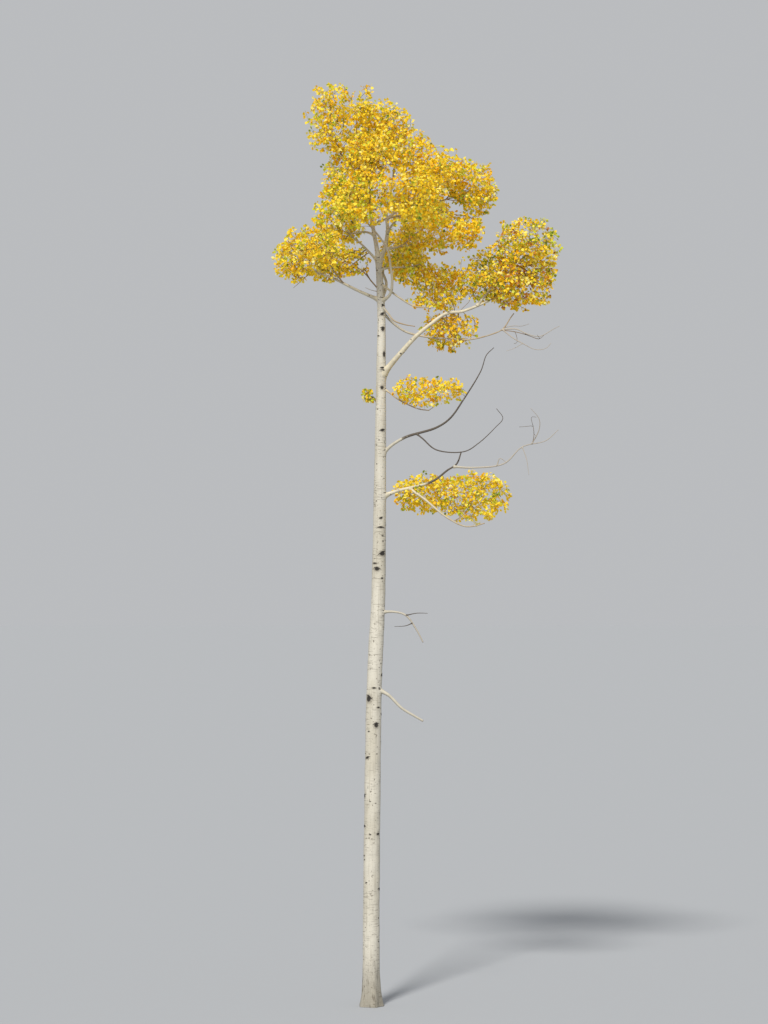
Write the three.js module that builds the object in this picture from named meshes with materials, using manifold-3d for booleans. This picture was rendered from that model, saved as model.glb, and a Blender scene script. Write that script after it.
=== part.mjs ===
// A white-barked poplar in autumn leaf: a tall bare trunk with a small, airy crown near its top.
// Sizes are in millimetres and +Z is up. The origin is the centre of the flat cut at ground level.
// The crown is widest along X, and -Y is its front.
// Every limb is one tapering solid. Every mass of foliage is one solid too: twigs that branch by
// a seeded rule from one stem, with large leaves at their ends, each standing for a spray.

import * as THREE from "three";
import { mergeVertices } from "three/addons/utils/BufferGeometryUtils.js";
import Module from "manifold-3d";

const wasm = await Module();
wasm.setup();

// Trunk
const TRUNK_DIAMETER = 290; // at the ground, without the root flare
const TAPER_HEIGHT = 16300; // where the taper would reach nothing
const TAPER_POWER = 2.4;
const TAPER_CURVE = 1.1;
const FORK_HEIGHT = 13150;
const LEADER_SHARE = 0.72; // of the trunk's thickness, kept by the leader above the fork
const FORK_BLEND = 250; // height over which the fork thins the trunk
const FLARE_REACH = 62; // added to the radius at the ground
const FLARE_HEIGHT = 300;
const FLARE_LOBES = 5;
const FLARE_LOBE_SHARE = 0.35;
const TRUNK_SIDES = 14;
const TRUNK_STEPS = 30;
const TRUNK_STEP_POWER = 1.35; // above 1, rings lie closer together near the ground
const TRUNK_ROUTE = [
  [0, 0, 0],
  [5, -15, 1500],
  [20, -30, 3200],
  [60, 10, 5700],
  [125, 40, 7100],
  [155, 60, 9000],
  [178, 40, 11300],
  [180, 30, 12100],
  [122, 40, 13100],
  [40, 60, 13600],
  [-105, 120, 14400],
  [-220, 150, 15000],
  [-270, 170, 15680],
];

// Limbs: the limb that each one leaves, its thickness at root and tip, and its route.
// A route's first point is moved onto the axis of the limb that it leaves.
const LIMBS = [
  {
    name: "leader_right", from: "trunk", across: [80, 30],
    route: [[120, 40, 13000], [235, 50, 13260], [290, 70, 13580], [268, 100, 13850], [280, 120, 14080],
      [370, 130, 14370], [420, 130, 14880]],
  },
  {
    name: "bough_main_right", from: "trunk", across: [104, 40],
    route: [[180, 40, 11000], [275, 0, 11140], [505, -90, 11405], [790, -150, 11715], [1070, -160, 11945],
      [1310, -150, 12110], [1590, -100, 12150], [1910, -60, 12270], [2050, -40, 12340]],
  },
  {
    name: "bough_lobe", from: "bough_main_right", across: [44, 24],
    route: [[1860, -70, 12240], [2120, -60, 12600], [2350, -80, 12930], [2500, -90, 13060]],
  },
  {
    name: "limb_left", from: "trunk", across: [62, 34],
    route: [[160, 30, 12340], [-210, 0, 12510], [-680, -30, 12740], [-930, -40, 12830], [-1080, -40, 12870]],
  },
  {
    name: "limb_left_small", from: "trunk", across: [46, 22],
    route: [[120, 40, 13020], [-140, 50, 13310], [-350, 20, 13490], [-430, 0, 13640]],
  },
  {
    name: "limb_upper_left", from: "trunk", across: [44, 24],
    route: [[-100, 120, 14330], [-280, 60, 14620], [-430, -20, 14800], [-570, -80, 14950]],
  },
  {
    name: "limb_upper_right", from: "leader_right", across: [44, 22],
    route: [[272, 110, 13930], [440, 20, 14150], [640, -50, 14330], [800, -90, 14430]],
  },
  {
    name: "limb_leader_side", from: "leader_right", across: [46, 22],
    route: [[275, 90, 13780], [470, 110, 13930], [680, 120, 14010], [1050, 80, 14060], [1370, 40, 14130]],
  },
  {
    name: "limb_front_left", from: "trunk", across: [56, 26],
    route: [[182, 30, 12330], [330, -130, 12440], [370, -240, 12640], [345, -310, 12900], [285, -380, 13210],
      [100, -500, 13480], [-110, -650, 13700]],
  },
  {
    name: "limb_front_right", from: "leader_right", across: [46, 22],
    route: [[290, 70, 13560], [390, -160, 13680], [520, -420, 13780], [620, -620, 13850]],
  },
  {
    name: "limb_back_right", from: "trunk", across: [48, 24],
    route: [[20, 70, 13680], [220, 260, 13780], [450, 480, 13860], [580, 640, 13900]],
  },
  {
    name: "limb_back_left", from: "trunk", across: [44, 24],
    route: [[60, 60, 13500], [-120, 260, 13570], [-330, 480, 13560], [-430, 600, 13590]],
  },
  {
    name: "limb_back_low", from: "trunk", across: [60, 30],
    route: [[180, 30, 12400], [250, 100, 12540], [265, 170, 12680], [210, 260, 12860], [270, 450, 13010],
      [380, 680, 13080]],
  },
  {
    name: "limb_right_up", from: "leader_right", across: [44, 22],
    route: [[255, 50, 13240], [470, 90, 13290], [610, 130, 13370], [730, 160, 13480]],
  },
  {
    name: "limb_right_level", from: "trunk", across: [38, 20],
    route: [[140, 30, 12890], [400, 30, 12925], [680, -20, 12935], [870, -40, 12985]],
  },
  {
    name: "limb_right_low", from: "trunk", across: [42, 22],
    route: [[180, 30, 12640], [300, -60, 12540], [480, -120, 12400], [750, -130, 12240], [930, -110, 12220],
      [1030, -80, 12240]],
  },
  {
    name: "bare_limb_short", from: "trunk", across: [44, 14],
    route: [[182, 30, 12270], [290, -70, 12130], [400, -110, 11990], [590, -100, 11920], [770, -60, 11890]],
  },
  {
    name: "bare_limb_long", from: "trunk", across: [46, 18],
    route: [[182, 30, 12180], [350, 80, 11990], [600, 110, 11810], [1000, 90, 11710], [1360, 20, 11680],
      [1700, -30, 11660], [2070, -50, 11740], [2300, -60, 11840], [2440, -50, 12040], [2500, -30, 12120]],
  },
  {
    name: "limb_lower", from: "trunk", across: [34, 16],
    route: [[180, 40, 10830], [330, 0, 10730], [470, -40, 10620], [820, -70, 10450], [1020, -60, 10420]],
  },
  {
    name: "bare_limb_dark", from: "trunk", across: [60, 12],
    route: [[170, 50, 9640], [400, 10, 9840], [620, -20, 9960], [1140, -60, 10120], [1380, -80, 10280],
      [1610, -90, 10600], [1920, -70, 11110], [2020, -50, 11390], [2150, -40, 11520]],
  },
  {
    name: "bare_limb_dark_side", from: "bare_limb_dark", across: [28, 10],
    route: [[800, -30, 10010], [900, -90, 9930], [1140, -170, 9730], [1630, -230, 9700], [1870, -240, 9840],
      [2170, -220, 10120], [2300, -200, 10280], [2190, -180, 10450]],
  },
  {
    name: "limb_low", from: "trunk", across: [70, 22],
    route: [[160, 60, 8890], [420, 20, 9000], [1070, -40, 9180], [1330, -60, 9370], [1500, -70, 9490],
      [1580, -60, 9700]],
  },
  {
    name: "bare_limb_grey", from: "limb_low", across: [38, 10],
    route: [[1440, -66, 9445], [1780, -140, 9420], [2320, -190, 9490], [2640, -200, 9780],
      [3050, -180, 9890], [3270, -160, 10080]],
  },
  {
    name: "limb_low_leafy", from: "limb_low", across: [50, 20],
    route: [[660, 0, 9070], [920, -120, 8880], [1310, -240, 8560], [1620, -280, 8400], [1800, -270, 8400],
      [1980, -250, 8450]],
  },
  {
    name: "snag_upper", from: "trunk", across: [48, 22],
    route: [[110, 35, 6880], [400, -70, 6900], [610, -120, 6840], [800, -150, 6580], [910, -170, 6370]],
  },
  {
    name: "snag_lower", from: "trunk", across: [62, 38],
    route: [[60, 10, 5560], [300, -90, 5450], [540, -150, 5220], [770, -180, 5080], [910, -200, 5000]],
  },
];
const LIMB_SIDES = 6;
const LIMB_STEP = 260; // along a limb, from ring to ring
const FEWEST_LIMB_STEPS = 4;
const LIMB_TAPER_POWER = 0.8; // below 1, a limb thins fastest near its root
const AXIS_SAMPLES = 400;

// Foliage: the space that each mass keeps to, as an ellipsoid, the limb that bears it, and how far
// along that limb its stem leaves.
const TIP = Infinity;
const LEAFY = [
  {
    name: "leaves_top_left", from: "limb_upper_left", at: TIP,
    centre: [-680, -120, 15500], radii: [600, 620, 760],
  },
  {
    name: "leaves_top_leader", from: "trunk", at: TIP,
    centre: [-120, 170, 15740], radii: [300, 420, 560],
  },
  {
    name: "leaves_top_right", from: "leader_right", at: TIP,
    centre: [340, 120, 15450], radii: [470, 590, 560],
  },
  {
    name: "leaves_top_right_low", from: "leader_right", at: 1500,
    centre: [700, -80, 14960], radii: [520, 600, 480],
  },
  {
    name: "leaves_top_back", from: "trunk", at: 14300,
    centre: [-40, 740, 15060], radii: [560, 600, 580],
  },
  {
    name: "leaves_top_front", from: "trunk", at: 13950,
    centre: [40, -700, 14820], radii: [540, 560, 560],
  },
  {
    name: "leaves_upper_right", from: "limb_upper_right", at: TIP,
    centre: [1210, -140, 14620], radii: [600, 660, 500],
  },
  {
    name: "leaves_far_right", from: "limb_leader_side", at: TIP,
    centre: [1800, 30, 14320], radii: [480, 620, 650],
  },
  {
    name: "leaves_front_right", from: "limb_front_right", at: TIP,
    centre: [720, -1060, 14080], radii: [740, 680, 620],
  },
  {
    name: "leaves_back_right", from: "limb_back_right", at: TIP,
    centre: [860, 1140, 14130], radii: [700, 760, 600],
  },
  {
    name: "leaves_mid_left", from: "limb_left_small", at: TIP,
    centre: [-450, -80, 14370], radii: [520, 600, 800],
  },
  {
    name: "leaves_back_left", from: "limb_back_left", at: TIP,
    centre: [-560, 1000, 13900], radii: [560, 660, 700],
  },
  {
    name: "leaves_front_left", from: "limb_front_left", at: TIP,
    centre: [-180, -1010, 14040], radii: [660, 600, 600],
  },
  {
    name: "leaves_centre_right", from: "limb_right_up", at: TIP,
    centre: [1040, 120, 13640], radii: [640, 640, 560],
  },
  {
    name: "leaves_right_hanging", from: "limb_leader_side", at: 800,
    centre: [1680, -100, 13580], radii: [420, 520, 420],
  },
  {
    name: "leaves_low_by_trunk", from: "limb_right_level", at: 380,
    centre: [680, 240, 13020], radii: [430, 480, 470],
  },
  {
    name: "leaves_back_low", from: "limb_back_low", at: TIP,
    centre: [560, 1200, 13290], radii: [560, 640, 560],
  },
  {
    name: "leaves_above_bough", from: "limb_right_low", at: TIP,
    centre: [1120, 60, 12570], radii: [620, 560, 500],
  },
  {
    name: "leaves_below_bough", from: "bough_main_right", at: 1480,
    centre: [1380, 240, 11830], radii: [640, 500, 430],
  },
  {
    name: "leaves_lobe_inner", from: "bough_main_right", at: 1850,
    centre: [1930, 140, 12790], radii: [620, 600, 540],
  },
  {
    name: "leaves_lobe_upper", from: "bough_lobe", at: TIP,
    centre: [2740, -60, 13310], radii: [700, 680, 580],
  },
  {
    name: "leaves_lobe_low", from: "bough_main_right", at: TIP,
    centre: [2620, 40, 12720], radii: [760, 700, 600],
  },
  {
    name: "leaves_left_outer", from: "limb_left", at: TIP,
    centre: [-1320, -80, 13120], radii: [480, 560, 580],
  },
  {
    name: "leaves_left_inner", from: "limb_left", at: 950,
    centre: [-800, 120, 13120], radii: [460, 560, 520],
  },
  {
    name: "leaves_left_front", from: "limb_left", at: 700,
    centre: [-880, -720, 13250], radii: [480, 520, 500],
  },
  {
    name: "leaves_left_of_trunk", from: "trunk", at: 12480,
    centre: [-340, 40, 13000], radii: [400, 380, 330],
  },
  {
    name: "leaves_lower_spray", from: "limb_lower", at: 480,
    centre: [1010, -20, 10770], radii: [820, 520, 320],
  },
  {
    name: "leaves_low_inner", from: "limb_low_leafy", at: 520,
    centre: [900, 260, 8990], radii: [620, 540, 430],
  },
  {
    name: "leaves_low_outer", from: "limb_low_leafy", at: 1000,
    centre: [1800, 260, 8930], radii: [740, 600, 580],
  },
  {
    name: "leaves_left_sprig", from: "trunk", at: 10480,
    centre: [-50, 30, 10680], radii: [150, 220, 190],
  },
];
const BARE = [
  {
    name: "twigs_bare_long", from: "bare_limb_long", at: 2300,
    centre: [2830, -140, 11690], radii: [500, 330, 260],
  },
  {
    name: "twigs_bare_grey", from: "bare_limb_grey", at: 1500,
    centre: [2800, -330, 10180], radii: [300, 280, 340],
  },
];
const GAP = 0.3; // between two solids that meet
const FINEST = 0.12; // the shortest edge that is kept, well under the gap
const FINEST_TWIG = 0.6; // the same while a mass is joined, before anything is cut from it
const SAME_PLACE = 1e-3; // corners nearer than this are one
const CLEARANCE = 12; // between a twig or leaf and a limb that it passes
const CLEAR_STEP = 40; // between two places where the clearance is tested
const OBSTACLE_LENGTH = 120;
const SPACE_MARGIN = 0.06; // of a mass's radius, kept between it and its neighbour
const TWIGS_PER_SQUARE_METRE = 34; // of a mass's mean radius squared
const FEWEST_TWIGS = 3;
const LEAF_LENGTH = 335;
const LEAF_LENGTH_SHARE = 0.64; // of a mass's mean radius, the most that a leaf measures
const LEAF_SIZES = [1.2, 1, 0.8]; // of the usual length
const LEAF_WIDTH_SHARE = 0.86; // of its length
const LEAF_THICKNESS_SHARE = 0.02;
const LEAF_WIDEST_AT = 0.45; // of its length
const LEAF_SPREAD = 0.9; // how far a leaf turns from its twig's direction
const END_LEAF_TURNS = [0, 1.1]; // least and most, between a leaf and the twig that it ends
const SIDE_LEAF_TURNS = [0.5, 1.9]; // the same for a leaf at a twig's side
const LEAF_TRIES = 12; // for each size
const TWIG_RADIUS = 6.5;
const TWIG_SIDES = 3;
const SHORTEST_TWIG = 60;
const SHARPEST_TURN = 1.75;
const INSIDE_SHARE = 0.45; // of a three-sided twig's radius, which a smaller twig's end stays inside
const SIDE_ROOT_SHARE = 0.3; // the same for a leaf that stands out from a twig's thinner middle
const TARGET_INSET = 0.8; // of a leaf's length, between a twig's end and the edge of its space
const TWIG_POWER = 0.42; // a twig that bears n ends is n to this power as thick as one
const TWIG_BALANCE = 0.35; // weight of the way back to the stem's root, against a twig's own length
const STEM_COLLAR = 70; // the straight first piece of a stem
const STEM_SWEEP = 0.35; // how far a stem that leaves a limb's side leans along the limb
const STEM_BEND = 0.4; // of the way to its space's centre, where a stem's bow turns
const STEM_SHARES = [0.35, 0.7, 1];
const STEM_REACH = 0.4; // how far past its space's centre a stem runs
const BARE_TWIGS = 9;
const SPREAD = [0.8191725134, 0.6710436067, 0.5497004779]; // steps that fill a cube evenly
const SEED_STEP = 0.3819660113;

const BARK_WHITE = 0xd8d2c1;
const BARK_CREAM = 0xc9bb9c;
const BARK_TAN = 0xa08c6c;
const BARK_GREY = 0x77706a;
const LEAF_COLOURS = [0xe2a91e, 0xd9b42c, 0xc7b53a];

const vector = (numbers) => new THREE.Vector3(...numbers);

// A manifold-3d solid from a closed geometry. Faces whose corners fall together are dropped.
function solidOf(geometry) {
  geometry.deleteAttribute("normal");
  geometry.deleteAttribute("uv");
  const closed = mergeVertices(geometry, SAME_PLACE);
  const corners = closed.index.array;
  const faces = Array.from({ length: corners.length / 3 }, (_, i) => corners.slice(3 * i, 3 * i + 3));
  const whole = faces.filter((face) => new Set(face).size === 3);
  const triVerts = new Uint32Array(whole.flatMap((face) => [...face]));
  const vertProperties = closed.getAttribute("position").array;
  return new wasm.Manifold(new wasm.Mesh({ numProp: 3, vertProperties, triVerts }));
}

// The largest body of a solid: loose scraps are dropped, a sealed hollow is filled, and edges too
// short to matter are taken out.
function largestBody(solid) {
  const bodies = solid.decompose();
  const largest = bodies.reduce((most, body) => (body.volume() > most.volume() ? body : most));
  return largest.asOriginal().simplify(FINEST);
}

function geometryOf(solid) {
  const { vertProperties, triVerts } = solid.getMesh();
  const geometry = new THREE.BufferGeometry();
  geometry.setAttribute("position", new THREE.BufferAttribute(vertProperties, 3));
  geometry.setIndex(new THREE.BufferAttribute(triVerts, 1));
  return geometry;
}

// A cylinder of a few sides bent along a curve: ring by ring, its radius comes from radiusAt,
// which is given the share of the way along and the angle round the axis.
function bentTaper(curve, radiusAt, sides, steps, stepPower = 1) {
  const geometry = new THREE.CylinderGeometry(1, 1, 1, sides, steps);
  const chord = curve.getPoint(1).sub(curve.getPoint(0)).normalize();
  const reference = new THREE.Vector3(0, 1, 0);
  if (Math.abs(chord.y) > Math.SQRT1_2) reference.set(1, 0, 0);
  const position = geometry.getAttribute("position");
  for (let i = 0; i < position.count; i++) {
    const [across, along, over] = [position.getX(i), position.getY(i) + 0.5, position.getZ(i)];
    const share = along ** stepPower;
    const tangent = curve.getTangentAt(share);
    const side = reference.clone().cross(tangent).normalize();
    const front = side.clone().cross(tangent);
    const radius = radiusAt(share, Math.atan2(over, across));
    const place = curve.getPointAt(share);
    place.addScaledVector(side, across * radius).addScaledVector(front, over * radius);
    position.setXYZ(i, place.x, place.y, place.z);
  }
  return geometry;
}

// The axis of such a bent cylinder, which runs straight from ring to ring, as a function of the
// share of the way along.
function axisOf(curve, steps, stepPower = 1) {
  const rings = Array.from({ length: steps + 1 }, (_, i) => (i / steps) ** stepPower);
  const places = rings.map((share) => curve.getPointAt(share));
  return (share) => {
    const ring = Math.max(1, rings.findIndex((end) => end >= share));
    const along = (share - rings[ring - 1]) / (rings[ring] - rings[ring - 1]);
    return places[ring - 1].clone().lerp(places[ring], along);
  };
}

function trunkRadius(height, angle) {
  const fork = THREE.MathUtils.smoothstep(height, FORK_HEIGHT - FORK_BLEND, FORK_HEIGHT + FORK_BLEND);
  const taper = (1 - (height / TAPER_HEIGHT) ** TAPER_POWER) ** TAPER_CURVE;
  const lobes = 1 + FLARE_LOBE_SHARE * Math.cos(FLARE_LOBES * angle);
  const flare = FLARE_REACH * lobes * Math.exp(-height / FLARE_HEIGHT);
  return (TRUNK_DIAMETER / 2) * taper * THREE.MathUtils.lerp(1, LEADER_SHARE, fork) + flare;
}

// The trunk, grown all round by some millimetres. Its foot is cut flat at the ground.
function makeTrunk(grown) {
  const curve = new THREE.CatmullRomCurve3(TRUNK_ROUTE.map(vector), false, "centripetal");
  const length = curve.getLength();
  const radiusAt = (share, angle) => trunkRadius(share * length, angle) + grown;
  const geometry = bentTaper(curve, radiusAt, TRUNK_SIDES, TRUNK_STEPS, TRUNK_STEP_POWER);
  const position = geometry.getAttribute("position");
  const lowestRing = length / TRUNK_STEPS / TRUNK_STEPS / 2;
  for (let i = 0; i < position.count; i++) {
    if (position.getZ(i) < lowestRing) position.setZ(i, 0);
  }
  const placeAt = axisOf(curve, TRUNK_STEPS, TRUNK_STEP_POWER);
  return { curve, length, placeAt, radiusAt: (share) => radiusAt(share, 0), solid: solidOf(geometry) };
}

// The place on a limb's axis nearest to a point, as a share of the way along.
function nearestShare({ placeAt }, point) {
  let best = { share: 0, distance: Infinity };
  for (let i = 0; i <= AXIS_SAMPLES; i++) {
    const share = i / AXIS_SAMPLES;
    const distance = placeAt(share).distanceTo(point);
    if (distance < best.distance) best = { share, distance };
  }
  return best.share;
}

// A limb that starts on its parent's axis. Grown by some millimetres, it cuts what leaves it.
function makeLimb({ from, across, route }, limbs, grown) {
  const points = route.map(vector);
  const parent = limbs.get(from);
  points[0] = parent.placeAt(nearestShare(parent, points[0]));
  const curve = new THREE.CatmullRomCurve3(points, false, "centripetal");
  const length = curve.getLength();
  const steps = Math.max(FEWEST_LIMB_STEPS, Math.round(length / LIMB_STEP));
  const radiusAt = (share) => THREE.MathUtils.lerp(...across, share ** LIMB_TAPER_POWER) / 2;
  const solid = solidOf(bentTaper(curve, (share) => radiusAt(share) + grown, LIMB_SIDES, steps));
  return { curve, length, placeAt: axisOf(curve, steps), radiusAt, solid };
}

// The stem of a mass: where it starts, its first direction and the points that it runs through.
function makeStem(mass, limbs) {
  const parent = limbs.get(mass.from);
  const share = Math.min(1, mass.at / parent.length);
  const centre = vector(mass.centre);
  const tangent = parent.curve.getTangentAt(share);
  const start = parent.placeAt(share);
  const towards = centre.clone().sub(start).normalize();
  const atTip = share === 1;
  if (atTip) start.addScaledVector(tangent, GAP);
  const direction = atTip ? tangent : towards.clone().addScaledVector(tangent, STEM_SWEEP).normalize();
  const collarLength = atTip ? STEM_COLLAR : STEM_COLLAR + parent.radiusAt(share);
  const collar = start.clone().addScaledVector(direction, collarLength);
  const distance = centre.distanceTo(collar);
  const bend = collar.clone().addScaledVector(direction, distance * STEM_BEND);
  const reach = STEM_REACH * Math.min(...mass.radii);
  const end = centre.clone().addScaledVector(centre.clone().sub(collar).normalize(), reach);
  const bow = new THREE.QuadraticBezierCurve3(collar, bend, end);
  const points = [start, collar, ...STEM_SHARES.map((along) => bow.getPoint(along))];
  return { points, atTip, thickest: parent.radiusAt(share) };
}

const meanRadius = ({ radii }) => Math.cbrt(radii[0] * radii[1] * radii[2]);

// How far out a point lies in a mass's space: 0 at its centre and 1 on its surface.
function outness({ centre, radii }, point) {
  return Math.hypot(...["x", "y", "z"].map((axis, i) => (point[axis] - centre[i]) / radii[i]));
}

// A point is in a mass's own space if it lies inside, and nearer to it than to any other mass.
function inSpace(mass, point, masses) {
  const own = outness(mass, point);
  if (own > 1) return false;
  return masses.every((other) => other === mass || outness(other, point) > own + SPACE_MARGIN);
}

// A point of the evenly spread sequence, placed in a mass's ellipsoid shrunk by some share.
function spreadPoint(mass, seed, index, shrink) {
  const [around, up, out] = SPREAD.map((step, axis) => (seed * (axis + 1) + (index + 1) * step) % 1);
  const height = 2 * up - 1;
  const level = Math.sqrt(1 - height * height);
  const angle = 2 * Math.PI * around;
  const radius = Math.cbrt(out) * shrink;
  const unit = [level * Math.cos(angle), level * Math.sin(angle), height];
  return vector(unit.map((part, axis) => mass.centre[axis] + mass.radii[axis] * radius * part));
}

// True if a straight piece keeps its distance from every obstacle.
function isClear(start, end, radius, obstacles) {
  const samples = Math.max(2, Math.ceil(start.distanceTo(end) / CLEAR_STEP));
  const closest = new THREE.Vector3();
  for (let i = 0; i <= samples; i++) {
    const point = start.clone().lerp(end, i / samples);
    for (const { line, radius: thickness } of obstacles) {
      line.closestPointToPoint(point, true, closest);
      if (closest.distanceTo(point) < radius + thickness + CLEARANCE) return false;
    }
  }
  return true;
}

// Straight pieces along a limb, which twigs and leaves keep clear of.
function obstaclesAlong({ placeAt, radiusAt, length }) {
  const pieces = Math.ceil(length / OBSTACLE_LENGTH);
  return Array.from({ length: pieces }, (_, i) => ({
    line: new THREE.Line3(placeAt(i / pieces), placeAt((i + 1) / pieces)),
    radius: radiusAt(i / pieces),
  }));
}

function obstaclesOfStem({ points, thickest }) {
  return points.slice(1).map((point, i) => ({ line: new THREE.Line3(points[i], point), radius: thickest }));
}

const ringOf = (place, radius) => ({ place, width: radius, thickness: radius });

// A three-sided twig through a list of rings, each with its place, half width and half thickness.
// A last ring of no size makes a point. The section is turned as little as it can be along the
// twig, and at the twig's end its flat side faces the way given.
function twigSolid({ rings, facing }) {
  const last = rings.length - 1;
  const side = new THREE.Vector3();
  const frames = rings.map((ring) => ({ ring })).reverse();
  frames.forEach((frame, back) => {
    const [before, after] = [rings[Math.max(0, last - back - 1)], rings[Math.min(last, last - back + 1)]];
    const tangent = after.place.clone().sub(before.place).normalize();
    side.copy(back === 0 ? tangent.clone().cross(facing) : side.projectOnPlane(tangent)).normalize();
    frame.side = side.clone();
    frame.front = side.clone().cross(tangent);
  });
  const geometry = new THREE.CylinderGeometry(1, 1, 1, TWIG_SIDES, last);
  const position = geometry.getAttribute("position");
  for (let i = 0; i < position.count; i++) {
    const { ring, side: across, front } = frames[last - Math.round((position.getY(i) + 0.5) * last)];
    const place = ring.place.clone();
    place.addScaledVector(across, position.getX(i) * ring.width);
    place.addScaledVector(front, position.getZ(i) * ring.thickness);
    position.setXYZ(i, place.x, place.y, place.z);
  }
  return solidOf(geometry);
}

// The rings of a leaf that grows on from a place on a twig: its widest part and its point.
function leafRings(root, { direction, length }) {
  const width = (length * LEAF_WIDTH_SHARE) / 2 / Math.sin(Math.PI / 3);
  const widest = root.clone().addScaledVector(direction, length * LEAF_WIDEST_AT);
  const tip = root.clone().addScaledVector(direction, length);
  return [{ place: widest, width, thickness: length * LEAF_THICKNESS_SHARE }, ringOf(tip, 0)];
}

// Twigs from the stem to spread targets, nearest first. Each joins the tree where its own length,
// plus a share of the way back to the stem's root, is shortest.
function growTwigs(mass, stem, seed, twigCount, shrink, masses, obstacles) {
  const nodes = stem.points.map((point, i) => ({ point, parent: i - 1, back: 0, ends: 0, children: 1 }));
  nodes.slice(1).forEach((node) => {
    const parent = nodes[node.parent];
    node.back = parent.back + parent.point.distanceTo(node.point);
  });
  nodes[nodes.length - 1].children = 0;
  const root = stem.points[0];
  const targets = Array.from({ length: twigCount }, (_, i) => spreadPoint(mass, seed, i, shrink));
  targets.sort((a, b) => a.distanceTo(root) - b.distanceTo(root));
  for (const target of targets) {
    if (!inSpace(mass, target, masses)) continue;
    let best = { cost: Infinity };
    nodes.forEach((node, i) => {
      const length = node.point.distanceTo(target);
      const cost = length + TWIG_BALANCE * node.back;
      if (i < 2 || node.children > 1 || cost > best.cost || length < SHORTEST_TWIG) return;
      const arriving = node.point.clone().sub(nodes[node.parent].point);
      if (arriving.angleTo(target.clone().sub(node.point)) < SHARPEST_TURN) best = { cost, i, length };
    });
    if (best.cost === Infinity) continue;
    const parent = nodes[best.i];
    const middle = parent.point.clone().lerp(target, 0.5);
    if (!inSpace(mass, middle, masses)) continue;
    if (!isClear(parent.point, target, TWIG_RADIUS * 2, obstacles)) continue;
    nodes.push({ point: target, parent: best.i, back: parent.back + best.length, ends: 0, children: 0 });
    parent.children++;
  }
  for (let i = nodes.length - 1; i > 0; i--) {
    nodes[i].ends = Math.max(1, nodes[i].ends);
    nodes[nodes[i].parent].ends += nodes[i].ends;
  }
  return nodes;
}

// The nodes split into twigs: each runs on from node to node, always to the child that bears most,
// and every other child starts a twig of its own.
function twigChains(nodes) {
  const heirs = nodes.map(() => -1);
  nodes.forEach((node, i) => {
    const heir = heirs[node.parent];
    if (i > 0 && (heir === -1 || nodes[heir].ends < node.ends)) heirs[node.parent] = i;
  });
  const starts = nodes.map((_, i) => i).filter((i) => i === 0 || heirs[nodes[i].parent] !== i);
  return starts.map((start) => {
    const chain = start === 0 ? [] : [nodes[start].parent];
    for (let i = start; i !== -1; i = heirs[i]) chain.push(i);
    return chain;
  });
}

// A direction and a facing for a leaf, turned by chance from the way that its twig points.
function leafDirection(along, seed, index) {
  const [around, tilt, facing] = SPREAD.map((step, axis) => (seed * (axis + 2) + (index + 1) * step) % 1);
  const turned = new THREE.Vector3();
  turned.setFromSphericalCoords(1, Math.acos(2 * tilt - 1), 2 * Math.PI * around);
  const direction = along.clone().addScaledVector(turned, LEAF_SPREAD).normalize();
  const normal = new THREE.Vector3();
  normal.setFromSphericalCoords(1, Math.PI * facing, 2 * Math.PI * tilt);
  return { direction, facing: normal };
}

// Of some tries of every size, the leaf that reaches furthest out in its space. One that leaves
// the space or comes near a limb is passed over. There may be none.
function findLeaf(mass, root, along, turns, fullLength, seed, index, masses, obstacles) {
  const outward = root.clone().sub(vector(mass.centre)).normalize().add(along);
  let best = { reach: 0 };
  for (let attempt = 0; attempt < LEAF_TRIES * LEAF_SIZES.length; attempt++) {
    const length = fullLength * LEAF_SIZES[attempt % LEAF_SIZES.length];
    const { direction, facing } = leafDirection(outward, seed, index * LEAF_TRIES + attempt);
    const turn = direction.angleTo(along);
    const tip = root.clone().addScaledVector(direction, length);
    const widest = root.clone().lerp(tip, LEAF_WIDEST_AT);
    const halfWidth = (length * LEAF_WIDTH_SHARE) / 2;
    const side = direction.clone().cross(facing).normalize().multiplyScalar(halfWidth);
    const corners = [tip, widest, widest.clone().add(side), widest.clone().sub(side)];
    const reach = outness(mass, tip);
    if (reach < best.reach || turn < turns[0] || turn > turns[1]) continue;
    if (!corners.every((corner) => inSpace(mass, corner, masses))) continue;
    if (isClear(widest, tip, halfWidth, obstacles)) best = { direction, facing, length, reach };
  }
  return best.reach > 0 ? best : null;
}

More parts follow.
